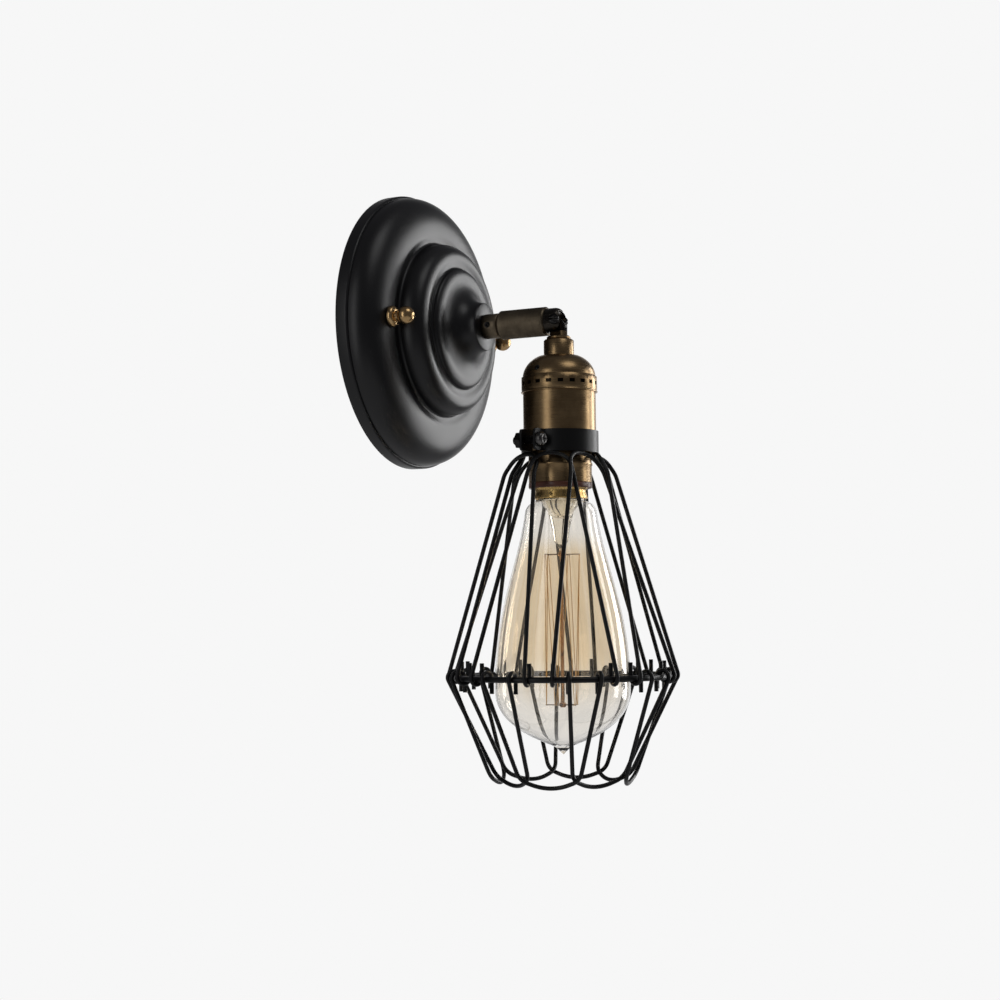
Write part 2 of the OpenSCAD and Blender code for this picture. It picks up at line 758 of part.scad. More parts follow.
module insulating_ring() {
  tube_r = neck_r - shell_t;
  color([0.42, 0.2, 0.12])
    turned_on_lamp([[contact_r + contact_t, holder_bottom + 0.4],
      [contact_r + contact_t + 0.4, holder_bottom], [neck_r - 0.3, holder_bottom],
      [neck_r + 0.1, holder_bottom + 0.5], [neck_r + 0.1, neck_bottom - 0.4],
      [neck_r - 0.2, neck_bottom], [tube_r, neck_bottom], [tube_r, shell_step - 1.5],
      [contact_r + contact_t, shell_step - 1.5]]);
}

// ---- bulb -----------------------------------------------------------------------------------

bulb_cap_r = bulb_cap_d / 2;
glass_r = glass_d / 2;
glass_top = cap_bottom + 1.6;
glass_bottom = cap_bottom - glass_len;
belly_h = 31.8;
belly_z = glass_bottom + belly_h;
neck_glass_r = 16.6;
neck_pull = [4.4, 33];
belly_pull = 36;
chin_pull = 15;
chin = [6, 4.6];
chin_reach = [0.62, 9.6];
support_top_z = cap_bottom - 26.3;
support_low_z = glass_bottom + 23.3;
rod_r = 0.9;
support_wire_d = 0.5;
strand_d = 0.35;
upper_spread = 9;
lower_spread = 8.2;

// Screw cap with rounded thread crests.
module bulb_cap() {
  pitch = 3.6;
  crests = 5;
  thread_top = bulb_top - 5;
  color([0.83, 0.65, 0.32])
    turned_on_lamp(concat(
      [[bulb_cap_r - 3.4, thread_top + 1.6], [bulb_cap_r - 1.2, thread_top + 0.8]],
      [for (i = [0 : crests * 6])
        let (z = thread_top - i * pitch / 6)
        [bulb_cap_r - 0.55 + 0.55 * cos(360 * (i - 3) / 6), z]],
      [[bulb_cap_r - 0.2, cap_bottom + 0.3], [bulb_cap_r - 0.4, cap_bottom],
       [bulb_cap_r - 1.2, cap_bottom], [bulb_cap_r - 1.6, thread_top - 0.4],
       [bulb_cap_r - 3.4, thread_top + 1]]));
}

module bulb_insulator() {
  color([0.05, 0.05, 0.06])
    turned_on_lamp([[0, bulb_top - 0.9], [4.4, bulb_top - 0.9], [5.4, bulb_top - 1.3],
      [bulb_cap_r - 3.4, bulb_top - 3.4], [bulb_cap_r - 3.4, bulb_top - 4.2], [0, bulb_top - 4.2]]);
  color([0.75, 0.72, 0.68])
    turned_on_lamp([[0, bulb_top - 0.02], [2.6, bulb_top - 0.02], [3.8, bulb_top - 0.5],
      [3.8, bulb_top - 1], [0, bulb_top - 1]]);
}

// A teardrop from the neck to the belly and in to the drawn tip.
function glass_outline(t) = concat(
  [[bulb_cap_r - 1.3 - t, glass_top], [bulb_cap_r - 1.3 - t, cap_bottom - 0.4]],
  curve([bulb_cap_r - 0.9 - t, cap_bottom - 1.2], [bulb_cap_r + 1.8 - t, cap_bottom - 2],
        [neck_glass_r - 0.6 - t, cap_bottom - 3], [neck_glass_r + 0.3 - t, cap_bottom - 5.6], 6),
  curve([neck_glass_r + 0.6 - t, cap_bottom - 7.4],
        [neck_glass_r + neck_pull[0] - t, cap_bottom - neck_pull[1]],
        [glass_r - t, belly_z + belly_pull], [glass_r - t, belly_z], 16),
  curve([glass_r - t, belly_z - 1.4], [glass_r - t, belly_z - chin_pull],
        [glass_r * chin_reach[0] - t, glass_bottom + chin_reach[1] + t * 0.6],
        [chin[0] - t / 2, glass_bottom + chin[1] + t], 14));

module bulb_glass() {
  tip = curve([4.6, glass_bottom + 3.9], [2.4, glass_bottom + 2.8], [1.7, glass_bottom + 1.4],
              [0, glass_bottom], 6);
  color([0.93, 0.84, 0.66, 0.35])
    turned_on_lamp(concat(
      glass_outline(0), tip, [[0, glass_bottom + 4.3 + glass_t]], reversed(glass_outline(glass_t))));
}

// Flared glass stem and its drawn rod, with a button at each crown of supports.
button_r = 1.5;
button_h = 1.6;

module bulb_stem() {
  r = bulb_cap_r - 1.3 - glass_t;
  color([0.8, 0.72, 0.6])
    difference() {
      turned_on_lamp(concat(
        [[0, cap_bottom + 0.6], [r, cap_bottom + 0.6], [r, cap_bottom - 0.4],
         [6.2, cap_bottom - 6], [4.2, cap_bottom - 14], [3.4, cap_bottom - 20],
         [1.8, cap_bottom - 22.4], [rod_r, cap_bottom - 23.6]],
        button(support_top_z), button(support_low_z), [[0, support_low_z - button_h / 2 - 0.4]]));
      on_lamp_axis()
        translate([0, 0, cap_bottom - 9])
          cylinder(r1 = 2.2, r2 = 9, h = 9.7, $fn = fine);
    }
}

function button(z) = [
  [rod_r, z + button_h / 2 + 0.4], [button_r, z + button_h / 2],
  [button_r, z - button_h / 2], [rod_r, z - button_h / 2 - 0.4]];

// Two crowns of fine wire, melted into the buttons.
module crown(z, reach_out, n, turn) {
  on_lamp_axis()
    for (i = [0 : n - 1])
      rotate([0, 0, 360 * i / n + turn])
        translate([button_r - weld, 0, z])
          rotate([0, 90, 0])
            cylinder(d = support_wire_d, h = reach_out - button_r + weld, $fn = 16);
}

module filament_supports() {
  color([0.35, 0.3, 0.26]) {
    crown(support_top_z, upper_spread, strand_n / 2, 0);
    crown(support_low_z, lower_spread, strand_n / 2, 360 / strand_n);
  }
}

// A carbonised thread, drawn up and down between the crowns. Its ends lie against the sides of
// the support wires.
module filament() {
  r1 = upper_spread - 0.4;
  r2 = lower_spread - 0.4;
  pitch = 360 / strand_n;
  beside_wire = (support_wire_d + strand_d) / 2 - 0.02;
  color([0.75, 0.45, 0.12])
    on_lamp_axis()
      for (i = [0 : strand_n - 1]) {
        up = i % 2 == 0;
        top_turn = asin(beside_wire / r1);
        low_turn = asin(beside_wire / r2);
        a = up ? pitch * i + top_turn : pitch * (i + 1) - top_turn;
        b = up ? pitch * (i + 1) - low_turn : pitch * i + low_turn;
        straight_wire([r1 * cos(a), r1 * sin(a), support_top_z],
                      [r2 * cos(b), r2 * sin(b), support_low_z], strand_d);
      }
}

// ---- cage -----------------------------------------------------------------------------------

band_r = shell_r + band_t;
ear_gap = 6.8;
ear_t = 1.2;
ear_len = 7.4;
ear_round = 1.6;
clamp_screw_d = 4;
clamp_screw_r = band_r + 4.1;
clamp_head_d = 6.8;
clamp_head_h = 3;
clamp_nut_w = 7;
clamp_nut_h = 3;
band_mid = (band_top + band_bottom) / 2;

module at_clamp() {
  on_lamp_axis()
    rotate([0, 0, band_turn])
      translate([0, 0, band_mid])
        children();
}

// A strip bent round the shell, with two ears turned out at its gap.
module cage_band() {
  ear_out = band_r + ear_len;
  ears_w = ear_gap + 2 * ear_t;
  color([0.07, 0.07, 0.07])
    difference() {
      union() {
        on_lamp_axis()
          translate([0, 0, band_bottom])
            cylinder(r = band_r, h = band_h, $fn = fine * 2);
        at_clamp()
          rotate([90, 0, 0])
            translate([0, 0, -ears_w / 2])
              linear_extrude(ears_w)
                polygon(concat(
                  [[shell_r - 1, band_h / 2 - ear_step], [shell_r - 1, ear_step - band_h / 2]],
                  ear_corner(ear_out, -1), ear_corner(ear_out, 1)));
      }
      at_clamp()
        translate([0, -ear_gap / 2, -band_h])
          cube([ear_out + 1, ear_gap, 2 * band_h]);
      on_lamp_axis()
        translate([0, 0, band_bottom - 1])
          cylinder(r = shell_r, h = band_h + 2, $fn = fine * 2);
      at_clamp()
        translate([clamp_screw_r, 0, 0])
          rotate([90, 0, 0])
            cylinder(d = clamp_screw_d + 2 * screw_play, h = ear_gap * 3, center = true, $fn = fine);
    }
}

// The ears are a hair lower than the band, with rounded outer corners.
ear_step = 0.1;

function ear_corner(out, end) =
  [for (i = [0 : 6])
    let (a = end < 0 ? 15 * i - 90 : 15 * i)
    [out - ear_round + ear_round * cos(a),
     end * (band_h / 2 - ear_step - ear_round) + ear_round * sin(a)]];

module band_screw() {
  ear_face = ear_gap / 2 + ear_t;
  color([0.35, 0.34, 0.33])
    at_clamp()
      translate([clamp_screw_r, 0, 0])
        rotate([-90, 0, 0])
          difference() {
            union() {
              translate([0, 0, ear_face])
                rotate_extrude($fn = fine)
                  polygon(concat([[0, 0]],
                    shoulder([clamp_head_d / 2, 0], [1.6, clamp_head_h], 2.6, 8),
                    [[0, clamp_head_h]]));
              translate([0, 0, -ear_face - clamp_nut_h - 1.8])
                cylinder(d = clamp_screw_d, h = 2 * ear_face + clamp_nut_h + 1.8 + lap, $fn = fine);
            }
            for (turn = [0, 90])
              rotate([0, 0, turn])
                translate([0, 0, ear_face + clamp_head_h])
                  cube([3.6, 0.9, 2.4], center = true);
          }
}

module band_nut() {
  ear_face = ear_gap / 2 + ear_t;
  color([0.25, 0.25, 0.25])
    at_clamp()
      translate([clamp_screw_r, 0, 0])
        rotate([90, 0, 0])
          difference() {
            translate([0, 0, ear_face])
              cylinder(d = clamp_nut_w / cos(30), h = clamp_nut_h, $fn = 6);
            cylinder(d = clamp_screw_d, h = 4 * ear_face, $fn = fine);
          }
}

module cage_ring() {
  color([0.06, 0.06, 0.06])
    on_lamp_axis()
      translate([0, 0, -ring_drop])
        rotate_extrude($fn = fine * 2)
          translate([ring_r, 0])
            circle(d = ring_wire_d, $fn = wire_fn);
}

// Corners of one hook, from the tail's end round the ring to the leg. side is the side of the
// loop, up is 1 for a hook that goes over the ring and -1 for one that goes under it, knee is the
// corner that the leg runs to and lift moves the hook so that it bears on the ring.
hook_flat = 0.15; // straight wire between the two bends of a hook

function hook(half, side, up, knee, lift) =
  let (e = [cos(half), side * sin(half), 0], rise = [0, 0, up * hook_r],
       mid = ring_r * e + [0, 0, lift - ring_drop],
       turn = turn_at(e, unit(knee - mid - 1.5 * hook_r * e - rise)),
       out = hook_r * tan(turn / 2) + hook_flat)
  [mid - hook_r * e - [0, 0, up * hook_tail], mid - hook_r * e + rise, mid + out * e + rise];

// An upper loop hangs from the clamp band: its crown is welded under the band's lower edge, and
// its legs spread, cross the neighbours' and hook under the ring. Its left side runs outside its
// neighbour and its right side inside.
crown_r = shell_r + band_t / 2 - 0.15;
crown_half = 7.4;
crown_bend = 9;
shoulder_r = 23;
shoulder_half = 10.3;
shoulder_drop = 9;
shoulder_bend = 12;

module upper_loop(i) {
  top = band_bottom - wire_d / 2 + weld;
  off = crossing_gap / 2;
  lift = hook_r - wire_d / 2 - ring_wire_d / 2 + weld;
  left_knee = [shoulder_r + off, -shoulder_half, top - shoulder_drop];
  right_knee = [shoulder_r - off, shoulder_half, top - shoulder_drop];
  corners = concat(
    hook(upper_half_angle, -1, -1, left_knee, lift),
    [left_knee, [crown_r + off, -crown_half, top], [crown_r - off, crown_half, top], right_knee],
    reversed(hook(upper_half_angle, 1, -1, right_knee, lift)));
  color([0.05, 0.05, 0.05])
    on_lamp_axis()
      rotate([0, 0, cage_turn + 360 / loop_n * (i - 1)])
        bent_wire(corners, [hook_r, hook_r, shoulder_bend, crown_bend, crown_bend, shoulder_bend,
          hook_r, hook_r], wire_d);
}

// A lower loop hooks over the ring and folds out about the line through its two hooks. Odd ones
// pass outside their neighbours and even ones inside, so that they open without touching.
basket_half = 14;
basket_r = 30.3;
basket_corner_drop = 3.7;
basket_mid_r = 27.9;
basket_corner_bend = 8;
basket_bottom_bend = 22;
basket_sag = 1.6;

module lower_loop(i) {
  off = (i % 2 == 1 ? 1 : -1) * crossing_gap / 2;
  corner_z = -ring_drop - basket_h + basket_corner_drop;
  left_knee = [basket_r + off, -basket_half, corner_z];
  right_knee = [basket_r + off, basket_half, corner_z];
  corners = concat(
    hook(lower_half_angle, -1, 1, left_knee, 0),
    [left_knee, [basket_mid_r + off, 0, -ring_drop - basket_h - basket_sag], right_knee],
    reversed(hook(lower_half_angle, 1, 1, right_knee, 0)));
  color([0.05, 0.05, 0.05])
    on_lamp_axis()
      rotate([0, 0, cage_turn + 360 / loop_n * (i - 1)])
        bent_wire(corners, [hook_r, hook_r, basket_corner_bend, basket_bottom_bend,
          basket_corner_bend, hook_r, hook_r], wire_d);
}

// ---- wiring inside the wall plate -------------------------------------------------------------

// A two-way terminal block on the strap.
block_len = 22;
block_w = 13;
block_h = 13;
block_x = -19;

module terminal_block() {
  color([0.9, 0.88, 0.82])
    translate([block_x, 0, 0])
      difference() {
        translate([-block_len / 2, -strap_t - block_h, -block_w / 2])
          cube([block_len, block_h, block_w]);
        for (side = [-1, 1])
          translate([side * block_len / 4, 0, 0]) {
            translate([0, -strap_t - block_h * 0.45, 0])
              cylinder(d = 3.4, h = block_w * 2, center = true, $fn = 32);
            rod_from_wall(3, strap_t + block_h * 0.45, strap_t + block_h + 1, 32);
          }
        translate([0, -strap_t - block_h, 0])
          cube([1.2, 6, block_w * 2], center = true);
      }
}

module earth_screw() {
  color([0.8, 0.66, 0.35])
    translate([earth_x, 0, 0])
      difference() {
        union() {
          rod_from_wall(earth_screw_d, 0, strap_t + lap);
          rod_from_wall(earth_screw_d * 2.2, strap_t, strap_t + 1);
          rod_from_wall(earth_screw_d * 1.8, strap_t + 1 - lap, strap_t + 3.4);
        }
        translate([0, -strap_t - 3.4, 0])
          cube([earth_screw_d * 2, 2, 0.9], center = true);
      }
}

// ---- assembly -------------------------------------------------------------------------------

canopy();
mounting_bracket();
fixing_screws();
ball_nuts();
threaded_nipple();
nipple_washer();
nipple_nut();
terminal_block();
earth_screw();
arm_base();
base_set_screw();
swivel_clip();
swivel_bush();
knurled_sleeve();
arm_fork();
pivot_screws();
knuckle_tongue();
holder_collar();
holder_cap();
cap_screw();
holder_shell();
holder_liner();
holder_core();
contact_shell();
centre_contact();
insulating_ring();
bulb_cap();
bulb_insulator();
bulb_glass();
bulb_stem();
filament_supports();
filament();
cage_band();
band_screw();
band_nut();
cage_ring();
for (i = [1 : loop_n]) {
  upper_loop(i);
  lower_loop(i);
}
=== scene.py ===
"""Cage wall light, dressed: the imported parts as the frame, with finer meshes and real finishes.

Metres throughout. The wall is the plane y = 0 and the light stands out towards -y, z is up. The
arm lies along the y axis and the lamp hangs from the knuckle's axis, below (0, -reach, 0).
"""

import math

import bmesh
import bpy
from mathutils import Matrix, Vector

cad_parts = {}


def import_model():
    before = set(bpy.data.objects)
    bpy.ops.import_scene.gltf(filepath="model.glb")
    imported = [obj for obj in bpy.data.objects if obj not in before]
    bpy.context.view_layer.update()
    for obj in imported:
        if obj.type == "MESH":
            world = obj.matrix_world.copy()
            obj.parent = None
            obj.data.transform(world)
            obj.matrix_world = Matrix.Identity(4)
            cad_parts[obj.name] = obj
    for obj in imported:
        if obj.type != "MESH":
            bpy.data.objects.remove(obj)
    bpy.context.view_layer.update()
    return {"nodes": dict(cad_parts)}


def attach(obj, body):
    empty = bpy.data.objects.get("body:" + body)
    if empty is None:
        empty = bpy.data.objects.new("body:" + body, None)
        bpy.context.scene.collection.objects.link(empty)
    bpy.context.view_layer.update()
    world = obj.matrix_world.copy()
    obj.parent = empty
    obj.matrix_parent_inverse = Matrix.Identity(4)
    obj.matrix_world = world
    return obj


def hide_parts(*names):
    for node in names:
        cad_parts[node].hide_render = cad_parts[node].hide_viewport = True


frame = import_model()

# ---- Studio -------------------------------------------------------------------------------------
# A pale floor far below the light and a pale sweep behind it. A tall soft panel stands on the
# right, a narrower one nearer the front, another on the left and a dim one overhead. The camera
# stands low, in front and to the left, and looks up a little.
BACKDROP = (0.93, 0.93, 0.93)
ROOM = (0.09, 0.09, 0.097)
SWEEP_EDGE = 0.80
SWEEP_FULL = 0.98
FLOOR_GREY = (0.30, 0.30, 0.30, 1.0)
FLOOR_ROUGHNESS = 0.9
FLOOR_GLOW = 0.955
FLOOR_IN_GLOSS = 0.3
FLOOR_Z = -1.6
FLOOR_HALF = 3.0
LAMP_MIDDLE = (0.0, -0.06, -0.08)
PANEL_DISTANCE = 1.2
IMAGE_PX = 1000
SENSOR_MM = 36.0
FOCAL_PX = 1856.0
CAMERA_AZIMUTH = math.radians(-63.0)
CAMERA_ELEVATION = math.radians(-3.7)
CAMERA_ROLL = math.radians(-0.55)
CAMERA_DISTANCE = 0.919
CAMERA_NEAR = 0.01
TARGET_RIGHT = 0.0452
TARGET_Z = -0.0833


def place_camera():
    """Sets the camera up and gives the direction that it looks along."""
    back = Vector((math.sin(CAMERA_AZIMUTH) * math.cos(CAMERA_ELEVATION),
                   -math.cos(CAMERA_AZIMUTH) * math.cos(CAMERA_ELEVATION),
                   math.sin(CAMERA_ELEVATION)))
    level = Vector((math.cos(CAMERA_AZIMUTH), math.sin(CAMERA_AZIMUTH), 0))
    right = math.cos(CAMERA_ROLL) * level + math.sin(CAMERA_ROLL) * back.cross(level)
    data = bpy.data.cameras.new("camera")
    data.sensor_width = SENSOR_MM
    data.lens = FOCAL_PX / IMAGE_PX * SENSOR_MM
    data.clip_start = CAMERA_NEAR
    camera = bpy.data.objects.new("camera", data)
    bpy.context.scene.collection.objects.link(camera)
    pose = Matrix((right, back.cross(right), back)).transposed().to_4x4()
    pose.translation = level * TARGET_RIGHT + Vector((0, 0, TARGET_Z)) + back * CAMERA_DISTANCE
    camera.matrix_world = pose
    bpy.context.scene.camera = camera
    return -back


def soft_panel(name, direction, size, power):
    """A rectangular soft light that looks at the lamp's middle from a direction."""
    data = bpy.data.lights.new(name, "AREA")
    data.shape = "RECTANGLE"
    data.size, data.size_y = size
    data.energy = power
    lamp = bpy.data.objects.new(name, data)
    bpy.context.scene.collection.objects.link(lamp)
    direction = Vector(direction).normalized()
    pose = direction.to_track_quat("Z", "Y").to_matrix().to_4x4()
    pose.translation = Vector(LAMP_MIDDLE) + direction * PANEL_DISTANCE
    lamp.matrix_world = pose


def math_node(nodes, links, operation, *values):
    """A math node whose inputs are numbers or sockets; gives its output socket."""
    node = nodes.new("ShaderNodeMath")
    node.operation = operation
    for slot, value in enumerate(values):
        if isinstance(value, (int, float)):
            node.inputs[slot].default_value = value
        else:
            links.new(value, node.inputs[slot])
    return node.outputs[0]


def ramp(nodes, links, value, low, high, to_low=0.0, to_high=1.0, kind="LINEAR"):
    """Maps a value socket from low and high to two other limits; gives its output socket."""
    node = nodes.new("ShaderNodeMapRange")
    node.interpolation_type = kind
    node.inputs["From Min"].default_value = low
    node.inputs["From Max"].default_value = high
    node.inputs["To Min"].default_value = to_low
    node.inputs["To Max"].default_value = to_high
    links.new(value, node.inputs["Value"])
    return node.outputs["Result"]


def blend(nodes, links, factor, first, second):
    """Mixes two colours, each three numbers or a socket; gives its output socket."""
    mix = nodes.new("ShaderNodeMix")
    mix.data_type = "RGBA"
    links.new(factor, mix.inputs["Factor"])
    for label, colour in (("A", first), ("B", second)):
        if isinstance(colour, tuple):
            mix.inputs[label].default_value = (*colour, 1.0)
        else:
            links.new(colour, mix.inputs[label])
    return mix.outputs["Result"]


def object_point(nodes):
    """Where a surface is shaded, in the frame; in the world's shader, the ray's direction."""
    return nodes.new("ShaderNodeTexCoord").outputs["Object"]


def room_colour(nodes, links, glossy_share):
    """The dim room, but the pale backdrop where a camera or transmission ray arrives."""
    path = nodes.new("ShaderNodeLightPath").outputs
    glossy = math_node(nodes, links, "MULTIPLY", path["Is Glossy Ray"], glossy_share)
    seen = math_node(nodes, links, "MAXIMUM", path["Is Camera Ray"], path["Is Transmission Ray"])
    return blend(nodes, links, math_node(nodes, links, "MAXIMUM", seen, glossy), ROOM, BACKDROP)


def light_the_sweep(behind):
    """A dim room all round; polished things see the pale sweep only where it stands, behind."""
    world = bpy.data.worlds.new("sweep")
    world.use_nodes = True
    bpy.context.scene.world = world
    nodes, links = world.node_tree.nodes, world.node_tree.links
    towards = nodes.new("ShaderNodeVectorMath")
    towards.operation = "DOT_PRODUCT"
    links.new(object_point(nodes), towards.inputs[0])
    towards.inputs[1].default_value = behind
    share = ramp(nodes, links, towards.outputs["Value"], SWEEP_EDGE, SWEEP_FULL,
                 kind="SMOOTHSTEP")
    links.new(room_colour(nodes, links, share), nodes["Background"].inputs["Color"])


def new_material(name):
    """A material with its nodes, its links and its Principled shader."""
    material = bpy.data.materials.new(name)
    material.use_nodes = True
    nodes = material.node_tree.nodes
    return material, nodes, material.node_tree.links, nodes["Principled BSDF"]


def lay_the_floor():
    mesh = bpy.data.meshes.new("floor")
    corners = [(x * FLOOR_HALF, y * FLOOR_HALF, FLOOR_Z)
               for x, y in ((-1, -1), (1, -1), (1, 1), (-1, 1))]
    mesh.from_pydata(corners, [], [(0, 1, 2, 3)])
    floor = bpy.data.objects.new("floor", mesh)
    bpy.context.scene.collection.objects.link(floor)
    material, nodes, links, matt = new_material("pale_floor")
    matt.inputs["Base Color"].default_value = FLOOR_GREY
    matt.inputs["Roughness"].default_value = FLOOR_ROUGHNESS
    matt.inputs["Emission Strength"].default_value = FLOOR_GLOW
    links.new(room_colour(nodes, links, FLOOR_IN_GLOSS), matt.inputs["Emission Color"])
    mesh.materials.append(material)


light_the_sweep(place_camera())
lay_the_floor()
soft_panel("right_panel", (0.90, -0.43, 0.10), size=(0.34, 0.90), power=6.0)
soft_panel("front_panel", (0.60, -0.79, 0.07), size=(0.24, 0.90), power=2.6)
soft_panel("left_panel", (-0.97, 0.24, 0.12), size=(0.35, 1.20), power=2.0)
soft_panel("top_panel", (-0.15, -0.55, 0.95), size=(0.60, 0.50), power=1.5)


# ---- Wall plate ---------------------------------------------------------------------------------
# Spun steel sheet, 1.2 mm thick, with two rolled shoulders, two narrow valleys and a bell up to
# the flat boss. It is sprayed satin black inside and out, and held by the two ball nuts.
PLATE_R = 0.0675
PLATE_DEPTH = 0.044
PLATE_SHEET = 0.0012
SKIRT_H = 0.005
SKIRT_ROUND = 0.0012
SHOULDER_POWER = 2.3
VALLEY_OUTER = (0.0435, 0.0193)
VALLEY_INNER = (0.0305, 0.0300)
VALLEY_FILLET = 0.0013
VALLEY_STEPS = 8
VALLEY_ARC = range(260, 185, -10)
CREST_WIDTH = 0.004
CREST_RISE = 0.0006
BELL_SHELF = (0.0245, 0.0334)
BELL_STEPS = 24
BOSS_R = 0.0114
BOSS_EDGE = ((0.0003, 0.0005), (0.0001, 0.0002), (-0.0002, 0.0))
PLATE_HOLE_R = 0.00425
TURNED_STEPS = 256
ON_AXIS = 1e-6
MERGE_DISTANCE = 1e-7
PEEL_HEIGHT = 0.00004
NIB_SCALE = 260.0
NIB_R = 0.06
NIB_SHARE = 0.5
GLOSS_SCALE = 60.0
GLOSS_SPREAD = 0.06


def shoulder(start, end, power, steps):
    """A quarter of a superellipse: straight out from start, square in to end."""
    points = []
    for i in range(steps + 1):
        a = math.pi / 2 * i / steps
        points.append((end[0] + (start[0] - end[0]) * math.cos(a) ** (2 / power),
                       start[1] + (end[1] - start[1]) * math.sin(a) ** (2 / power)))
    return points


def valley(crest, low):
    """Down from a crest in half a cosine wave, then a fillet that starts up the next wall."""
    down = [(crest[0] + (low[0] - crest[0]) * t / VALLEY_STEPS,
             low[1] + (crest[1] - low[1]) * (1 + math.cos(math.pi * t / VALLEY_STEPS)) / 2)
            for t in range(1, VALLEY_STEPS + 1)]
    up = [(low[0] + VALLEY_FILLET * math.cos(math.radians(a)),
           low[1] + VALLEY_FILLET * (1 + math.sin(math.radians(a)))) for a in VALLEY_ARC]
    return down + up


def bell():
    """A quarter ellipse from the shelf up to the boss, with the boss's rounded edge."""
    edge = [(BOSS_R + out, PLATE_DEPTH - back) for out, back in BOSS_EDGE]
    foot_r, foot_h = BELL_SHELF
    rise = [(foot_r - (foot_r - edge[0][0]) * math.sin(a),
             edge[0][1] - (edge[0][1] - foot_h) * math.cos(a))
            for a in (math.pi / 2 * i / BELL_STEPS for i in range(1, BELL_STEPS + 1))]
    return rise + edge[1:]


def plate_outline():
    """(radius, height above the wall) from the wall edge to the boss."""
    def before(low):
        return low[0] + CREST_WIDTH, low[1] + CREST_RISE

    def after(low):
        return low[0] - VALLEY_FILLET, low[1] + VALLEY_FILLET

    skirt = (PLATE_R - SKIRT_ROUND, SKIRT_H + SKIRT_ROUND)
    return ([(PLATE_R, 0.0), (PLATE_R, SKIRT_H)]
            + shoulder((PLATE_R, SKIRT_H), skirt, power=2, steps=6)[1:]
            + shoulder(skirt, before(VALLEY_OUTER), SHOULDER_POWER, steps=36)[1:]
            + valley(before(VALLEY_OUTER), VALLEY_OUTER)
            + shoulder(after(VALLEY_OUTER), before(VALLEY_INNER), SHOULDER_POWER, steps=30)
            + valley(before(VALLEY_INNER), VALLEY_INNER)
            + shoulder(after(VALLEY_INNER), BELL_SHELF, power=2, steps=14) + bell())


def beside(line, gap):
    """The line moved sideways by gap, to its left."""
    moved = []
    for i, point in enumerate(line):
        before, behind = line[max(i - 1, 0)], line[min(i + 1, len(line) - 1)]
        along = Vector((behind[0] - before[0], behind[1] - before[1])).normalized()
        moved.append((point[0] - along.y * gap, point[1] + along.x * gap))
    return moved


def from_wall(radius, height, turn):
    return radius * math.cos(turn), -height, radius * math.sin(turn)


def new_piece(name, mesh, material, sharp_degrees=35):
    """Links a finished mesh as an object, shaded smooth apart from its sharp edges."""
    mesh.materials.clear()
    mesh.materials.append(material)
    mesh.polygons.foreach_set("use_smooth", [True] * len(mesh.polygons))
    mesh.set_sharp_from_angle(angle=math.radians(sharp_degrees))
    piece = bpy.data.objects.new(name, mesh)
    bpy.context.scene.collection.objects.link(piece)
    return piece


def closed_mesh(name, bm):
    """Merges doubles, turns the faces outwards and gives the mesh."""
    bmesh.ops.remove_doubles(bm, verts=bm.verts, dist=MERGE_DISTANCE)
    bmesh.ops.recalc_face_normals(bm, faces=bm.faces)
    mesh = bpy.data.meshes.new(name)
    bm.to_mesh(mesh)
    bm.free()
    return mesh


def turned_bmesh(profile, place, steps=TURNED_STEPS):
    """A closed profile of (radius, height) turned all round. place maps it into the frame."""
    bm = bmesh.new()
    rings = []
    for radius, height in profile:
        if radius < ON_AXIS:
            rings.append([bm.verts.new(place(0.0, height, 0.0))])
        else:
            rings.append([bm.verts.new(place(radius, height, 2 * math.pi * k / steps))
                          for k in range(steps)])
    for here, there in zip(rings, rings[1:] + rings[:1]):
        if len(here) == 1 and len(there) == 1:
            continue
        for k in range(steps):
            corners = [here[k % len(here)], here[(k + 1) % len(here)],
                       there[(k + 1) % len(there)], there[k % len(there)]]
            bm.faces.new(list(dict.fromkeys(corners)))
    return bm


def dress(piece, body, slot, *nodes):
    """The piece rides on body and stands for the nodes, which are hidden; slot is not used."""
    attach(piece, body)
    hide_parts(*nodes)


def new_group(name, inputs, outputs):
    """An empty shader node group with its sockets and its two end nodes."""
    group = bpy.data.node_groups.new(name, "ShaderNodeTree")
    for label, kind, value in inputs:
        socket = group.interface.new_socket(label, in_out="INPUT", socket_type=kind)
        socket.default_value = value
    for label, kind in outputs:
        group.interface.new_socket(label, in_out="OUTPUT", socket_type=kind)
    return group, group.nodes.new("NodeGroupInput"), group.nodes.new("NodeGroupOutput")


def noise(nodes, links, point, scale, detail, roughness=0.5):
    """Noise at a point; scale is a number or a socket; gives its output socket."""
    texture = nodes.new("ShaderNodeTexNoise")
    texture.inputs["Detail"].default_value = detail
    texture.inputs["Roughness"].default_value = roughness
    links.new(point, texture.inputs["Vector"])
    if isinstance(scale, float):
        texture.inputs["Scale"].default_value = scale
    else:
        links.new(scale, texture.inputs["Scale"])
    return texture.outputs["Fac"]


def bumped(nodes, links, height, strength, depth):
    """A surface raised by a height socket; gives its normal."""
    relief = nodes.new("ShaderNodeBump")
    relief.inputs["Strength"].default_value = strength
    relief.inputs["Distance"].default_value = depth
    links.new(height, relief.inputs["Height"])
    return relief.outputs["Normal"]


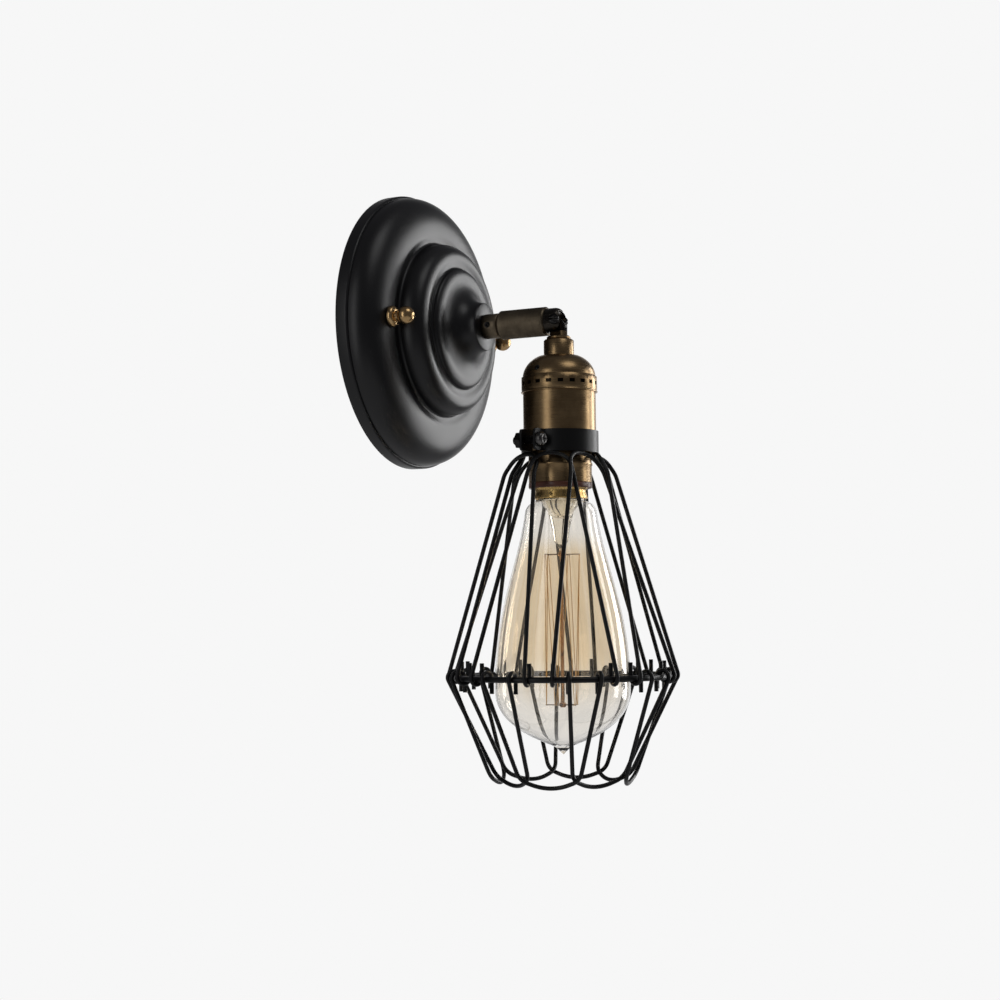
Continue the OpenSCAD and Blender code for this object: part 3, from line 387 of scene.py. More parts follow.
def sprayed_film():
    """Orange peel and dust nibs of sprayed paint: a height and a slow change of roughness."""
    group, start, end = new_group(
        "sprayed_film",
        [("Peel Size", "NodeSocketFloat", 900.0), ("Roughness", "NodeSocketFloat", 0.36)],
        [("Height", "NodeSocketFloat"), ("Roughness", "NodeSocketFloat")])
    nodes, links = group.nodes, group.links
    point = object_point(nodes)
    peel = noise(nodes, links, point, start.outputs["Peel Size"], detail=2.0)
    nib = nodes.new("ShaderNodeTexVoronoi")
    nib.inputs["Scale"].default_value = NIB_SCALE
    links.new(point, nib.inputs["Vector"])
    dot = ramp(nodes, links, nib.outputs["Distance"], 0.0, NIB_R, to_low=1.0, to_high=0.0)
    links.new(math_node(nodes, links, "MULTIPLY_ADD", dot, NIB_SHARE, peel), end.inputs["Height"])
    slow = noise(nodes, links, point, GLOSS_SCALE, detail=3.0)
    swing = math_node(nodes, links, "SUBTRACT", slow, 0.5)
    links.new(math_node(nodes, links, "MULTIPLY_ADD", swing, GLOSS_SPREAD,
                        start.outputs["Roughness"]), end.inputs["Roughness"])
    return group


SPRAYED_FILM = sprayed_film()


def painted(name, colour, roughness, peel_size, bump, gloss):
    """Sprayed paint, or any other skin that is smooth but for a slight unevenness."""
    material, nodes, links, paint = new_material(name)
    paint.inputs["Base Color"].default_value = (*colour, 1.0)
    paint.inputs["Specular IOR Level"].default_value = gloss
    film = nodes.new("ShaderNodeGroup")
    film.node_tree = SPRAYED_FILM
    film.inputs["Peel Size"].default_value = peel_size
    film.inputs["Roughness"].default_value = roughness
    links.new(film.outputs["Roughness"], paint.inputs["Roughness"])
    links.new(bumped(nodes, links, film.outputs["Height"], bump, PEEL_HEIGHT),
              paint.inputs["Normal"])
    return material


def wall_plate_mesh():
    """The sheet in one turning, with the nipple's hole in the boss."""
    outline = plate_outline()
    inner = [(min(r, PLATE_R - PLATE_SHEET), max(0.0, min(h, PLATE_DEPTH - PLATE_SHEET)))
             for r, h in beside(outline, PLATE_SHEET)]
    profile = (outline + [(PLATE_HOLE_R, PLATE_DEPTH), (PLATE_HOLE_R, PLATE_DEPTH - PLATE_SHEET)]
               + inner[::-1])
    return closed_mesh("wall_plate", turned_bmesh(profile, from_wall))


satin_black = painted("satin_black_paint", (0.007, 0.007, 0.008), roughness=0.38,
                      peel_size=1400.0, bump=0.22, gloss=0.50)
dress(new_piece("wall_plate", wall_plate_mesh(), satin_black), "wall_plate", "black_canopy",
      "canopy")


# ---- Fastenings behind the plate ----------------------------------------------------------------
# A zinc-plated steel strap on the wall, its two machine screws, the threaded nipple that carries
# the arm with its washer and nut, an earth screw and a moulded terminal block. All are hidden
# once the plate is up, and keep the shapes of the frame.
BLOTCH_LIMITS = (0.35, 0.65)
STREAK_LIMITS = (0.3, 0.7)
STREAK_HEIGHT = 0.00003


def machined_streaks():
    """Fine lathe or rolling marks round one axis: a streak value and a blotch value."""
    group, start, end = new_group(
        "machined_streaks",
        [("Stretch", "NodeSocketVector", (40.0, 3000.0, 40.0)),
         ("Blotch", "NodeSocketFloat", 90.0)],
        [("Streak", "NodeSocketFloat"), ("Blotch", "NodeSocketFloat")])
    nodes, links = group.nodes, group.links
    point = object_point(nodes)
    stretched = nodes.new("ShaderNodeVectorMath")
    stretched.operation = "MULTIPLY"
    links.new(point, stretched.inputs[0])
    links.new(start.outputs["Stretch"], stretched.inputs[1])
    links.new(noise(nodes, links, stretched.outputs[0], 1.0, detail=4.0), end.inputs["Streak"])
    links.new(noise(nodes, links, point, start.outputs["Blotch"], detail=5.0, roughness=0.6),
              end.inputs["Blotch"])
    return group


MACHINED_STREAKS = machined_streaks()


def metal(name, light, dark, roughness, spread, stretch, bump=0.1, blotch=90.0):
    """Bare or stained metal: two tones mixed by blotches, with machining streaks in the gloss."""
    material, nodes, links, surface = new_material(name)
    surface.inputs["Metallic"].default_value = 1.0
    marks = nodes.new("ShaderNodeGroup")
    marks.node_tree = MACHINED_STREAKS
    marks.inputs["Stretch"].default_value = stretch
    marks.inputs["Blotch"].default_value = blotch
    tone = ramp(nodes, links, marks.outputs["Blotch"], *BLOTCH_LIMITS)
    links.new(blend(nodes, links, tone, dark, light), surface.inputs["Base Color"])
    links.new(ramp(nodes, links, marks.outputs["Streak"], *STREAK_LIMITS,
                   to_low=roughness - spread, to_high=roughness + spread),
              surface.inputs["Roughness"])
    links.new(bumped(nodes, links, marks.outputs["Streak"], bump, STREAK_HEIGHT),
              surface.inputs["Normal"])
    return material


def moulded(name, colour, roughness, gloss=0.5):
    """Moulded, pressed or fired stuff."""
    return painted(name, colour, roughness, peel_size=500.0, bump=0.12, gloss=gloss)


def finish_node(node, material):
    """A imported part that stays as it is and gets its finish."""
    mesh = frame["nodes"][node].data
    mesh.materials.clear()
    mesh.materials.append(material)


zinc = metal("zinc_plate", (0.66, 0.65, 0.60), (0.50, 0.50, 0.47), roughness=0.32, spread=0.06,
             stretch=(900.0, 60.0, 60.0))
plain_brass = metal("plain_brass", (0.80, 0.60, 0.30), (0.66, 0.47, 0.22), roughness=0.28,
                    spread=0.06, stretch=(60.0, 60.0, 1800.0))
spring_steel = metal("spring_steel", (0.32, 0.33, 0.36), (0.20, 0.21, 0.24), roughness=0.3,
                     spread=0.05, stretch=(60.0, 900.0, 60.0))
terminal_cream = moulded("terminal_cream", (0.80, 0.77, 0.68), roughness=0.5)
for hidden in ("mounting_bracket", "fixing_screws", "threaded_nipple", "nipple_washer",
               "nipple_nut"):
    finish_node(hidden, zinc)
finish_node("earth_screw", plain_brass)
finish_node("terminal_block", terminal_cream)


# ---- Ball nuts ----------------------------------------------------------------------------------
# Two turned and polished brass nuts with a rounded collar, a short neck and a ball. They screw on
# the machine screws and press the plate to the wall.
NUT_SEAT_H = 0.01985
NUT_X = 0.05
NUT_STEPS = 96
COLLAR_R = 0.005
COLLAR_H = 0.003
COLLAR_EDGE = 0.0004
COLLAR_SIDE = 0.0012
NECK_H = 0.0012
NECK_R = 0.00255
BALL_R = 0.00425
BALL_SINK = 0.0006
BALL_STEPS = 32
SCREW_R = 0.002


def ball_nut_profile():
    """(radius, height above the wall) from the screw's hole over the collar to the ball."""
    top = NUT_SEAT_H + COLLAR_H
    middle = top + NECK_H + BALL_R - BALL_SINK
    start = math.asin(NECK_R / BALL_R)
    ball = [(BALL_R * math.sin(a), middle - BALL_R * math.cos(a))
            for a in (start + (math.pi - start) * i / BALL_STEPS for i in range(BALL_STEPS))]
    side = (COLLAR_R, NUT_SEAT_H + COLLAR_SIDE)
    return ([(0.0, top + NECK_H), (SCREW_R, top + NECK_H), (SCREW_R, NUT_SEAT_H),
             (COLLAR_R - COLLAR_EDGE, NUT_SEAT_H), (COLLAR_R, NUT_SEAT_H + COLLAR_EDGE)]
            + shoulder(side, (NECK_R, top), power=2, steps=10) + ball
            + [(0.0, middle + BALL_R)])


def two_ball_nuts():
    bm = bmesh.new()
    for x in (-NUT_X, NUT_X):
        one = turned_bmesh(ball_nut_profile(),
                           lambda r, h, t: (x + r * math.cos(t), -h, r * math.sin(t)), NUT_STEPS)
        part = bpy.data.meshes.new("one_nut")
        one.to_mesh(part)
        one.free()
        bm.from_mesh(part)
    return closed_mesh("ball_nuts", bm)


polished_brass = metal("polished_brass", (0.62, 0.43, 0.22), (0.52, 0.34, 0.16), roughness=0.24,
                       spread=0.03, stretch=(60.0, 2600.0, 60.0), bump=0.04)
dress(new_piece("ball_nuts_polished", two_ball_nuts(), polished_brass), "wall_plate",
      "polished_brass", "ball_nuts")


# ---- Arm base, bush and clip --------------------------------------------------------------------
# A turned brass base, stained dark bronze, locked on the nipple by a small hexagon-socket screw.
# Its spigot carries the swivel's bush, which an open spring clip keeps on.
COPY_MERGE = 2e-7


def dress_copy(node, name, material, body, slot, sharp_degrees=32):
    """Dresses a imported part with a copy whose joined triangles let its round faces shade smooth."""
    bm = bmesh.new()
    bm.from_mesh(frame["nodes"][node].data)
    bmesh.ops.remove_doubles(bm, verts=bm.verts, dist=COPY_MERGE)
    mesh = bpy.data.meshes.new(name)
    bm.to_mesh(mesh)
    bm.free()
    dress(new_piece(name, mesh, material, sharp_degrees), body, slot, node)


dark_bronze = metal("dark_bronze", (0.20, 0.16, 0.11), (0.12, 0.096, 0.066), roughness=0.46,
                    spread=0.06, stretch=(90.0, 2400.0, 90.0), bump=0.25, blotch=160.0)
black_oxide = metal("black_oxide", (0.045, 0.043, 0.042), (0.02, 0.02, 0.02), roughness=0.38,
                    spread=0.06, stretch=(400.0, 400.0, 400.0), blotch=300.0)
dress_copy("arm_base", "arm_base_turned", dark_bronze, "wall_plate", "dark_bronze")
dress_copy("base_set_screw", "base_set_screw_cut", black_oxide, "wall_plate", "dark_bronze")
finish_node("swivel_clip", spring_steel)
finish_node("swivel_bush", plain_brass)


# ---- Knurled sleeve -----------------------------------------------------------------------------
# The grip of the swivel: a brass tube with a fine diamond knurl rolled into it and a plain
# chamfer at each end, stained dark bronze and pressed over the bush and the fork.
REACH = 0.083
SLEEVE_BACK = 0.0525
SLEEVE_FRONT = 0.0776
SLEEVE_R = 0.007
SLEEVE_BORE_R = 0.0061
SLEEVE_CHAMFER = 0.0008
SLEEVE_PLAIN_R = SLEEVE_R - 0.00003
KNURL_TEETH = 84
KNURL_SIDES_PER_TOOTH = 6
KNURL_DEPTH = 0.00012
KNURL_ROWS = 150
KNURL_RUN_IN = 0.0001
KNURL_SLACK = 0.00001


def new_tree(name, inputs):
    """An empty geometry tree that takes and gives a mesh, with its named inputs."""
    tree = bpy.data.node_groups.new(name, "GeometryNodeTree")
    tree.interface.new_socket("Geometry", in_out="INPUT", socket_type="NodeSocketGeometry")
    for label, kind in inputs:
        tree.interface.new_socket(label, in_out="INPUT", socket_type=kind)
    tree.interface.new_socket("Geometry", in_out="OUTPUT", socket_type="NodeSocketGeometry")
    return tree, tree.nodes.new("NodeGroupInput"), tree.nodes.new("NodeGroupOutput")


def end_tree(tree, geometry, material, end):
    """Realize Instances and Set Material close every tree."""
    real = tree.nodes.new("GeometryNodeRealizeInstances")
    tree.links.new(geometry, real.inputs[0])
    painted_over = tree.nodes.new("GeometryNodeSetMaterial")
    tree.links.new(real.outputs[0], painted_over.inputs["Geometry"])
    tree.links.new(material, painted_over.inputs["Material"])
    tree.links.new(painted_over.outputs[0], end.inputs["Geometry"])


def grown_mesh(name, mesh, tree, values):
    """Runs a geometry tree on a mesh and gives the plain mesh that comes out."""
    carrier = bpy.data.objects.new(name + "_carrier", mesh)
    bpy.context.scene.collection.objects.link(carrier)
    modifier = carrier.modifiers.new("grow", "NODES")
    modifier.node_group = tree
    for item in tree.interface.items_tree:
        if item.item_type == "SOCKET" and item.in_out == "INPUT" and item.name in values:
            modifier[item.identifier] = values[item.name]
    graph = bpy.context.evaluated_depsgraph_get()
    grown = bpy.data.meshes.new_from_object(carrier.evaluated_get(graph), depsgraph=graph)
    grown.name = name
    bpy.data.objects.remove(carrier)
    return grown


def knurl_tree():
    """Presses crossing grooves into a tube along y: only where its radius is the full one."""
    tree, start, end = new_tree("diamond_knurl", [
        ("Radius", "NodeSocketFloat"), ("Teeth", "NodeSocketFloat"), ("Depth", "NodeSocketFloat"),
        ("Material", "NodeSocketMaterial")])
    nodes, links = tree.nodes, tree.links
    axes = nodes.new("ShaderNodeSeparateXYZ")
    links.new(nodes.new("GeometryNodeInputPosition").outputs[0], axes.inputs[0])
    x, y, z = axes.outputs
    turn = math_node(nodes, links, "ARCTAN2", z, x)
    around = math_node(nodes, links, "MULTIPLY", turn, start.outputs["Teeth"])
    per_metre = math_node(nodes, links, "DIVIDE", start.outputs["Teeth"], start.outputs["Radius"])
    along = math_node(nodes, links, "MULTIPLY", y, per_metre)
    rising = math_node(nodes, links, "COSINE", math_node(nodes, links, "ADD", around, along))
    falling = math_node(nodes, links, "COSINE", math_node(nodes, links, "SUBTRACT", around, along))
    groove = math_node(nodes, links, "MINIMUM", rising, falling)
    pressed = math_node(nodes, links, "MULTIPLY_ADD", groove, 0.5, -0.5)
    radius = math_node(nodes, links, "SQRT", math_node(
        nodes, links, "MULTIPLY_ADD", x, x, math_node(nodes, links, "MULTIPLY", z, z)))
    short = math_node(nodes, links, "SUBTRACT", start.outputs["Radius"], KNURL_SLACK)
    full = math_node(nodes, links, "GREATER_THAN", radius, short)
    depth = math_node(nodes, links, "MULTIPLY", start.outputs["Depth"], full)
    inward = math_node(nodes, links, "MULTIPLY", pressed, depth)
    scale = math_node(nodes, links, "DIVIDE", inward, radius)
    offset = nodes.new("ShaderNodeCombineXYZ")
    links.new(math_node(nodes, links, "MULTIPLY", x, scale), offset.inputs[0])
    links.new(math_node(nodes, links, "MULTIPLY", z, scale), offset.inputs[2])
    push = nodes.new("GeometryNodeSetPosition")
    links.new(start.outputs["Geometry"], push.inputs["Geometry"])
    links.new(offset.outputs[0], push.inputs["Offset"])
    end_tree(tree, push.outputs[0], start.outputs["Material"], end)
    return tree


def knurled_sleeve():
    back, front = SLEEVE_BACK + 2 * SLEEVE_CHAMFER, SLEEVE_FRONT - 2 * SLEEVE_CHAMFER
    knurl = [(SLEEVE_R, back + (front - back) * i / KNURL_ROWS) for i in range(KNURL_ROWS + 1)]
    profile = ([(SLEEVE_BORE_R, SLEEVE_BACK), (SLEEVE_R - SLEEVE_CHAMFER, SLEEVE_BACK),
                (SLEEVE_PLAIN_R, SLEEVE_BACK + SLEEVE_CHAMFER),
                (SLEEVE_PLAIN_R, back - KNURL_RUN_IN)] + knurl
               + [(SLEEVE_PLAIN_R, front + KNURL_RUN_IN),
                  (SLEEVE_PLAIN_R, SLEEVE_FRONT - SLEEVE_CHAMFER),
                  (SLEEVE_R - SLEEVE_CHAMFER, SLEEVE_FRONT), (SLEEVE_BORE_R, SLEEVE_FRONT)])
    tube = closed_mesh("sleeve_tube",
                       turned_bmesh(profile, from_wall, KNURL_TEETH * KNURL_SIDES_PER_TOOTH))
    return grown_mesh("knurled_grip", tube, knurl_tree(), {
        "Radius": SLEEVE_R, "Teeth": float(KNURL_TEETH), "Depth": KNURL_DEPTH,
        "Material": dark_bronze})


dress(new_piece("knurled_grip", knurled_sleeve(), dark_bronze, sharp_degrees=60), "arm",
      "dark_bronze", "knurled_sleeve")


# ---- Fork and pivot screws ----------------------------------------------------------------------
# A round brass bar with a domed end, slotted for the tongue and coloured near black. The two
# slotted screws in its cheeks are the knuckle's pivots.
fork_bronze = metal("fork_bronze", (0.055, 0.048, 0.040), (0.025, 0.022, 0.020), roughness=0.32,
                    spread=0.05, stretch=(90.0, 2400.0, 90.0), bump=0.15, blotch=200.0)
dress_copy("arm_fork", "arm_fork_domed", fork_bronze, "arm", "dark_bronze", 28)
dress_copy("pivot_screws", "pivot_screws_slotted", black_oxide, "arm", "black_steel")


# ---- Knuckle tongue and collar ------------------------------------------------------------------
# A brass bar with two flats and a ball end, an eye for the leads and a foot, screwed into the
# lamp holder through a chamfered collar. Both are lacquered antique bronze; the ball, which sits
# in the fork's slot, is painted dark as shade.
ANTIQUE = {"light": (0.36, 0.245, 0.125), "dark": (0.25, 0.165, 0.082), "roughness": 0.30,
           "spread": 0.05, "stretch": (60.0, 60.0, 2600.0), "bump": 0.12, "blotch": 140.0}
# Near-black colour of painted shade, for parts that sit in a slot or under a cover.
PAINTED_SHADE = (0.012, 0.009, 0.006)
BALL_SHADE_Z = -0.0055


def painted_shade_above(material, edge_z):
    """Paints shade on a metal above a height, where it sits in a slot or under a cover."""
    nodes, links = material.node_tree.nodes, material.node_tree.links
    colour = nodes["Principled BSDF"].inputs["Base Color"]
    axes = nodes.new("ShaderNodeSeparateXYZ")
    links.new(object_point(nodes), axes.inputs[0])
    # Painted shade: the colour turns near black above edge_z.
    above = math_node(nodes, links, "GREATER_THAN", axes.outputs[2], edge_z)
    links.new(blend(nodes, links, above, colour.links[0].from_socket, PAINTED_SHADE), colour)
    return material


antique_brass = metal("antique_brass", **ANTIQUE)
# The ball end, which sits in the fork's slot, is painted near black as shade.
tongue_brass = painted_shade_above(metal("tongue_brass", **ANTIQUE), BALL_SHADE_Z)
dress_copy("knuckle_tongue", "knuckle_tongue_flatted", tongue_brass, "lamp_head",
           "antique_brass", 28)
dress_copy("holder_collar", "holder_collar_turned", antique_brass, "lamp_head", "antique_brass")


# ---- Holder cap ---------------------------------------------------------------------------------
# Pressed brass, antique bronze: a dome with a rolled ledge, a band pierced by a row of slots that
# let the heat out, and a bead at the lower edge. A grub screw holds it to the shell.
dress_copy("holder_cap", "holder_cap_pressed", antique_brass, "lamp_head", "antique_brass", 24)
dress_copy("cap_screw", "cap_screw_slotted", black_oxide, "lamp_head", "black_steel")


# ---- Holder shell -------------------------------------------------------------------------------
# Drawn brass: a plain barrel that slips into the cap, a rounded step under the clamp and a neck
# with one bead. The part of the barrel inside the cap is painted dark as shade behind the slots.
CAP_EDGE_Z = -0.0345
# The barrel inside the cap, above its lower edge, is painted near black as shade behind the slots.
shell_brass = painted_shade_above(metal("shell_brass", **ANTIQUE), CAP_EDGE_Z)
dress_copy("holder_shell", "holder_shell_drawn", shell_brass, "lamp_head", "antique_brass", 24)


# ---- Inside the holder --------------------------------------------------------------------------
# A fibre liner, a glazed ceramic core, the screw shell and the sprung centre contact. They are
# seen only from below, past the bulb's cap.
fibre = moulded("fibre", (0.36, 0.26, 0.17), roughness=0.8, gloss=0.2)
ceramic = moulded("glazed_ceramic", (0.80, 0.77, 0.70), roughness=0.2)
finish_node("holder_liner", fibre)
finish_node("holder_core", ceramic)
finish_node("contact_shell", plain_brass)
finish_node("centre_contact", plain_brass)


# ---- Insulating ring ----------------------------------------------------------------------------
# Brown moulded phenolic with a flange that closes the gap between the holder's neck and the
# bulb's cap.
brown_moulding = moulded("brown_moulding", (0.16, 0.060, 0.036), roughness=0.30)
dress_copy("insulating_ring", "insulating_ring_moulded", brown_moulding, "lamp_head",
           "brown_moulding")


# ---- Cage clamp ---------------------------------------------------------------------------------
# A steel strip bent round the shell with two ears, painted black with the cage. A cross-head
# screw and a hexagon nut draw the ears together.
cage_black = painted("cage_black_paint", (0.006, 0.006, 0.006), roughness=0.38,
                     peel_size=1800.0, bump=0.3, gloss=0.35)
screw_steel = metal("screw_steel", (0.17, 0.165, 0.16), (0.07, 0.068, 0.066), roughness=0.3,
                    spread=0.06, stretch=(500.0, 500.0, 500.0), blotch=400.0)
dress_copy("cage_band", "cage_band_painted", cage_black, "lamp_head", "black_wire_paint", 28)
dress_copy("band_screw", "band_screw_cross_head", screw_steel, "lamp_head", "black_steel", 28)
dress_copy("band_nut", "band_nut_hexagon", black_oxide, "lamp_head", "black_steel", 28)


# ---- Cage ring and loops ------------------------------------------------------------------------
# Sixteen loops of 2 mm steel wire and a ring of 2.8 mm, painted black. Eight upper loops are
# welded under the clamp and hook under the ring. Eight lower loops hook over it and fold out.
WIRE_D = 0.002
WIRE_SIDES = 20
BEND_STEPS = 12
RING_WIRE_D = 0.0028
RING_R = 0.051
RING_Z = -0.1695
RING_STEPS = 192
LOOPS = 8
FIRST_TURN = math.radians(13.5)
LOOP_PITCH = 2 * math.pi / LOOPS
HOOK_R = 0.0031
HOOK_TAIL = 0.0065
HOOK_FLAT = 0.00015
HOOK_OUT = 1.5 * HOOK_R
HALF_OFFSET = 0.00175
UPPER_HALF = math.radians(38.5)
LOWER_HALF = math.radians(30.5)
WELD = 0.00006
CLAMP_BOTTOM = -0.064
CROWN = (0.0177, 0.0074)
CROWN_BEND = 0.009
SHOULDER = (0.023, 0.0103)
SHOULDER_BEND = 0.012
SHOULDER_DROP = 0.009
BASKET_H = 0.0498
BASKET_CORNER = (0.0303, 0.014)
BASKET_CORNER_BEND = 0.008
BASKET_CORNER_RISE = 0.0037
BASKET_MIDDLE_R = 0.0279
BASKET_MIDDLE_BEND = 0.022
BASKET_SAG = 0.0016


def hook(half, side, up, knee, lift):
    """Corners of a hook, from the tail's end round the ring to the leg, with their bends."""
    out = Vector((math.cos(half), side * math.sin(half), 0))
    rise = Vector((0, 0, up * HOOK_R))
    middle = RING_R * out + Vector((0, 0, RING_Z + lift))
    leg = (knee - middle - HOOK_OUT * out - rise).normalized()
    reach_out = HOOK_R * math.tan(out.angle(leg) / 2) + HOOK_FLAT
    return [(middle - HOOK_R * out - Vector((0, 0, up * HOOK_TAIL)), 0.0),
            (middle - HOOK_R * out + rise, HOOK_R), (middle + reach_out * out + rise, HOOK_R)]


def upper_path():
    """Corners and bends of an upper loop: hook, shoulder, two crown corners, shoulder, hook."""
    top = CLAMP_BOTTOM - WIRE_D / 2 + WELD
    lift = HOOK_R - WIRE_D / 2 - RING_WIRE_D / 2 + WELD
    left = Vector((SHOULDER[0] + HALF_OFFSET, -SHOULDER[1], top - SHOULDER_DROP))
    right = Vector((SHOULDER[0] - HALF_OFFSET, SHOULDER[1], top - SHOULDER_DROP))
    crown = [(Vector((CROWN[0] + HALF_OFFSET, -CROWN[1], top)), CROWN_BEND),
             (Vector((CROWN[0] - HALF_OFFSET, CROWN[1], top)), CROWN_BEND)]
    return (hook(UPPER_HALF, -1, -1, left, lift) + [(left, SHOULDER_BEND)] + crown
            + [(right, SHOULDER_BEND)] + hook(UPPER_HALF, 1, -1, right, lift)[::-1])


def lower_path(offset):
    """Corners and bends of a lower loop: hook, corner, the sagging middle, corner, hook."""
    low = RING_Z - BASKET_H
    left = Vector((BASKET_CORNER[0] + offset, -BASKET_CORNER[1], low + BASKET_CORNER_RISE))
    right = Vector((left.x, -left.y, left.z))
    bottom = (Vector((BASKET_MIDDLE_R + offset, 0, low - BASKET_SAG)), BASKET_MIDDLE_BEND)
    return (hook(LOWER_HALF, -1, 1, left, 0)
            + [(left, BASKET_CORNER_BEND), bottom, (right, BASKET_CORNER_BEND)]
            + hook(LOWER_HALF, 1, 1, right, 0)[::-1])


def ring_path():
    return [(Vector((RING_R * math.cos(2 * math.pi * k / RING_STEPS),
                     RING_R * math.sin(2 * math.pi * k / RING_STEPS), RING_Z)), 0.0)
            for k in range(RING_STEPS)]


def corner_mesh(name, path, closed):
    """The corners of a wire as a line of edges that carries each corner's bend radius."""
    mesh = bpy.data.meshes.new(name)
    edges = [(i, i + 1) for i in range(len(path) - 1)] + ([(len(path) - 1, 0)] if closed else [])
    mesh.from_pydata([point for point, _ in path], edges, [])
    bend = mesh.attributes.new("bend", "FLOAT", "POINT")
    bend.data.foreach_set("value", [radius for _, radius in path])
    return mesh


def wire_tree():
    """Rounds each corner by its bend radius, sweeps the wire and repeats it round the axis."""
    tree, start, end = new_tree("bent_wire", [
        ("Wire Diameter", "NodeSocketFloat"), ("Sides", "NodeSocketInt"),
        ("Bend Steps", "NodeSocketInt"), ("Count", "NodeSocketInt"), ("Pitch", "NodeSocketFloat"),
        ("First Turn", "NodeSocketFloat"), ("Axis", "NodeSocketVector"),
        ("Material", "NodeSocketMaterial")])
    nodes, links = tree.nodes, tree.links
    line = nodes.new("GeometryNodeMeshToCurve")
    links.new(start.outputs["Geometry"], line.inputs["Mesh"])
    radius = nodes.new("GeometryNodeInputNamedAttribute")
    radius.data_type = "FLOAT"
    radius.inputs["Name"].default_value = "bend"
    fillet = nodes.new("GeometryNodeFilletCurve")
    fillet.mode = "POLY"
    links.new(line.outputs["Curve"], fillet.inputs["Curve"])
    links.new(start.outputs["Bend Steps"], fillet.inputs["Count"])
    links.new(radius.outputs["Attribute"], fillet.inputs["Radius"])
    outline = nodes.new("GeometryNodeCurvePrimitiveCircle")
    links.new(start.outputs["Sides"], outline.inputs["Resolution"])
    links.new(math_node(nodes, links, "MULTIPLY", start.outputs["Wire Diameter"], 0.5),
              outline.inputs["Radius"])
    sweep = nodes.new("GeometryNodeCurveToMesh")
    sweep.inputs["Fill Caps"].default_value = True
    links.new(fillet.outputs["Curve"], sweep.inputs["Curve"])
    links.new(outline.outputs["Curve"], sweep.inputs["Profile Curve"])
    stations = nodes.new("GeometryNodePoints")
    links.new(start.outputs["Count"], stations.inputs["Count"])
    links.new(start.outputs["Axis"], stations.inputs["Position"])
    index = nodes.new("GeometryNodeInputIndex")
    turn = math_node(nodes, links, "MULTIPLY_ADD", index.outputs[0], start.outputs["Pitch"],
                     start.outputs["First Turn"])
    euler = nodes.new("ShaderNodeCombineXYZ")
    links.new(turn, euler.inputs[2])
    rotation = nodes.new("FunctionNodeEulerToRotation")
    links.new(euler.outputs[0], rotation.inputs[0])
    copies = nodes.new("GeometryNodeInstanceOnPoints")
    links.new(stations.outputs[0], copies.inputs["Points"])
    links.new(sweep.outputs["Mesh"], copies.inputs["Instance"])
    links.new(rotation.outputs[0], copies.inputs["Rotation"])
    end_tree(tree, copies.outputs[0], start.outputs["Material"], end)
    return tree


WIRE_TREE = wire_tree()


def bent_wire(name, path, diameter, count=1, first_turn=0.0, closed=False, sharp_degrees=60):
    """A painted round wire along a path in the lamp's own frame, repeated round its axis."""
    mesh = grown_mesh(name, corner_mesh(name + "_line", path, closed), WIRE_TREE, {
        "Wire Diameter": diameter, "Sides": WIRE_SIDES, "Bend Steps": BEND_STEPS,
        "Count": count, "Pitch": LOOP_PITCH, "First Turn": first_turn,
        "Axis": (0.0, -REACH, 0.0), "Material": cage_black})
    return new_piece(name, mesh, cage_black, sharp_degrees)


dress(bent_wire("cage_ring_welded", ring_path(), RING_WIRE_D, closed=True, sharp_degrees=35),
      "lamp_head", "black_wire_paint", "cage_ring")
dress(bent_wire("upper_loops_bent", upper_path(), WIRE_D, LOOPS, FIRST_TURN),
      "lamp_head", "black_wire_paint", *(f"upper_loop_{n}" for n in range(1, LOOPS + 1)))
for n in range(1, LOOPS + 1):
    lower = lower_path(HALF_OFFSET if n % 2 else -HALF_OFFSET)
    dress(bent_wire(f"lower_loop_bent_{n}", lower, WIRE_D,
                    first_turn=FIRST_TURN + LOOP_PITCH * (n - 1)),
          f"lower_loop_body_{n}", "black_wire_paint", f"lower_loop_{n}")


# ---- Bulb ---------------------------------------------------------------------------------------
# A teardrop filament bulb: a brass screw cap on black glass insulation, clear glass with a pale
# amber wash, and inside a flared glass stem, its rod, two crowns of wire and the thread.
BULB_CAP_BOTTOM = -0.0856
GLASS_R = 0.032
GLASS_T = 0.0009
GLASS_BOTTOM = BULB_CAP_BOTTOM - 0.1204
BELLY_Z = GLASS_BOTTOM + 0.0318
BELLY_HALF_FLAT = 0.0014
BELLY_PULL_UP = 0.036
BELLY_PULL_DOWN = 0.015
GLASS_SEAT = ((0.0118, 0.0016), (0.0118, -0.0004))
GLASS_SHOULDER = ((0.0122, -0.0012), (0.0149, -0.002), (0.016, -0.003), (0.0169, -0.0056))
GLASS_CONE = ((0.0172, -0.0074), (0.021, -0.033))
CHIN_PULL = (0.01984, 0.0096)
CHIN_SINK = 0.6
CHIN_END = (0.006, 0.0046)
DRAWN_TIP = ((0.0046, 0.0039), (0.0024, 0.0028), (0.0017, 0.0014), (0.0, 0.0))
TIP_HOLLOW = 0.0043
GLASS_TURNED_STEPS = 192
GLASS_IOR = 1.47
CLEAR_GLASS = (0.95, 0.945, 0.935)
PALE_AMBER = (0.875, 0.85, 0.81)
DEEP_AMBER = (0.82, 0.72, 0.57)
WASH_HEAD = (-0.100, -0.116)
WASH_FOOT = (-0.187, -0.155)
WASH_STREAKS = 9.0
WASH_STREAK_SHARE = 1.4
WASH_EVEN_SHARE = 0.3
EDGE_BLEND = 0.35
ROD_TOP_Z = -0.108
ROD_FADE = 0.003
STEM_GLASS = (0.90, 0.84, 0.72)
ROD_STAIN = (0.36, 0.20, 0.09)


def curve_points(a, b, c, d, steps):
    """A cubic curve through a and d that leaves towards b and arrives from c."""
    points = []
    for i in range(steps + 1):
        t = i / steps
        s = 1 - t
        points.append(tuple(s ** 3 * a[k] + 3 * s * s * t * b[k] + 3 * s * t * t * c[k]
                            + t ** 3 * d[k] for k in (0, 1)))
    return points


def above(height, points):
    return [(radius, height + z) for radius, z in points]


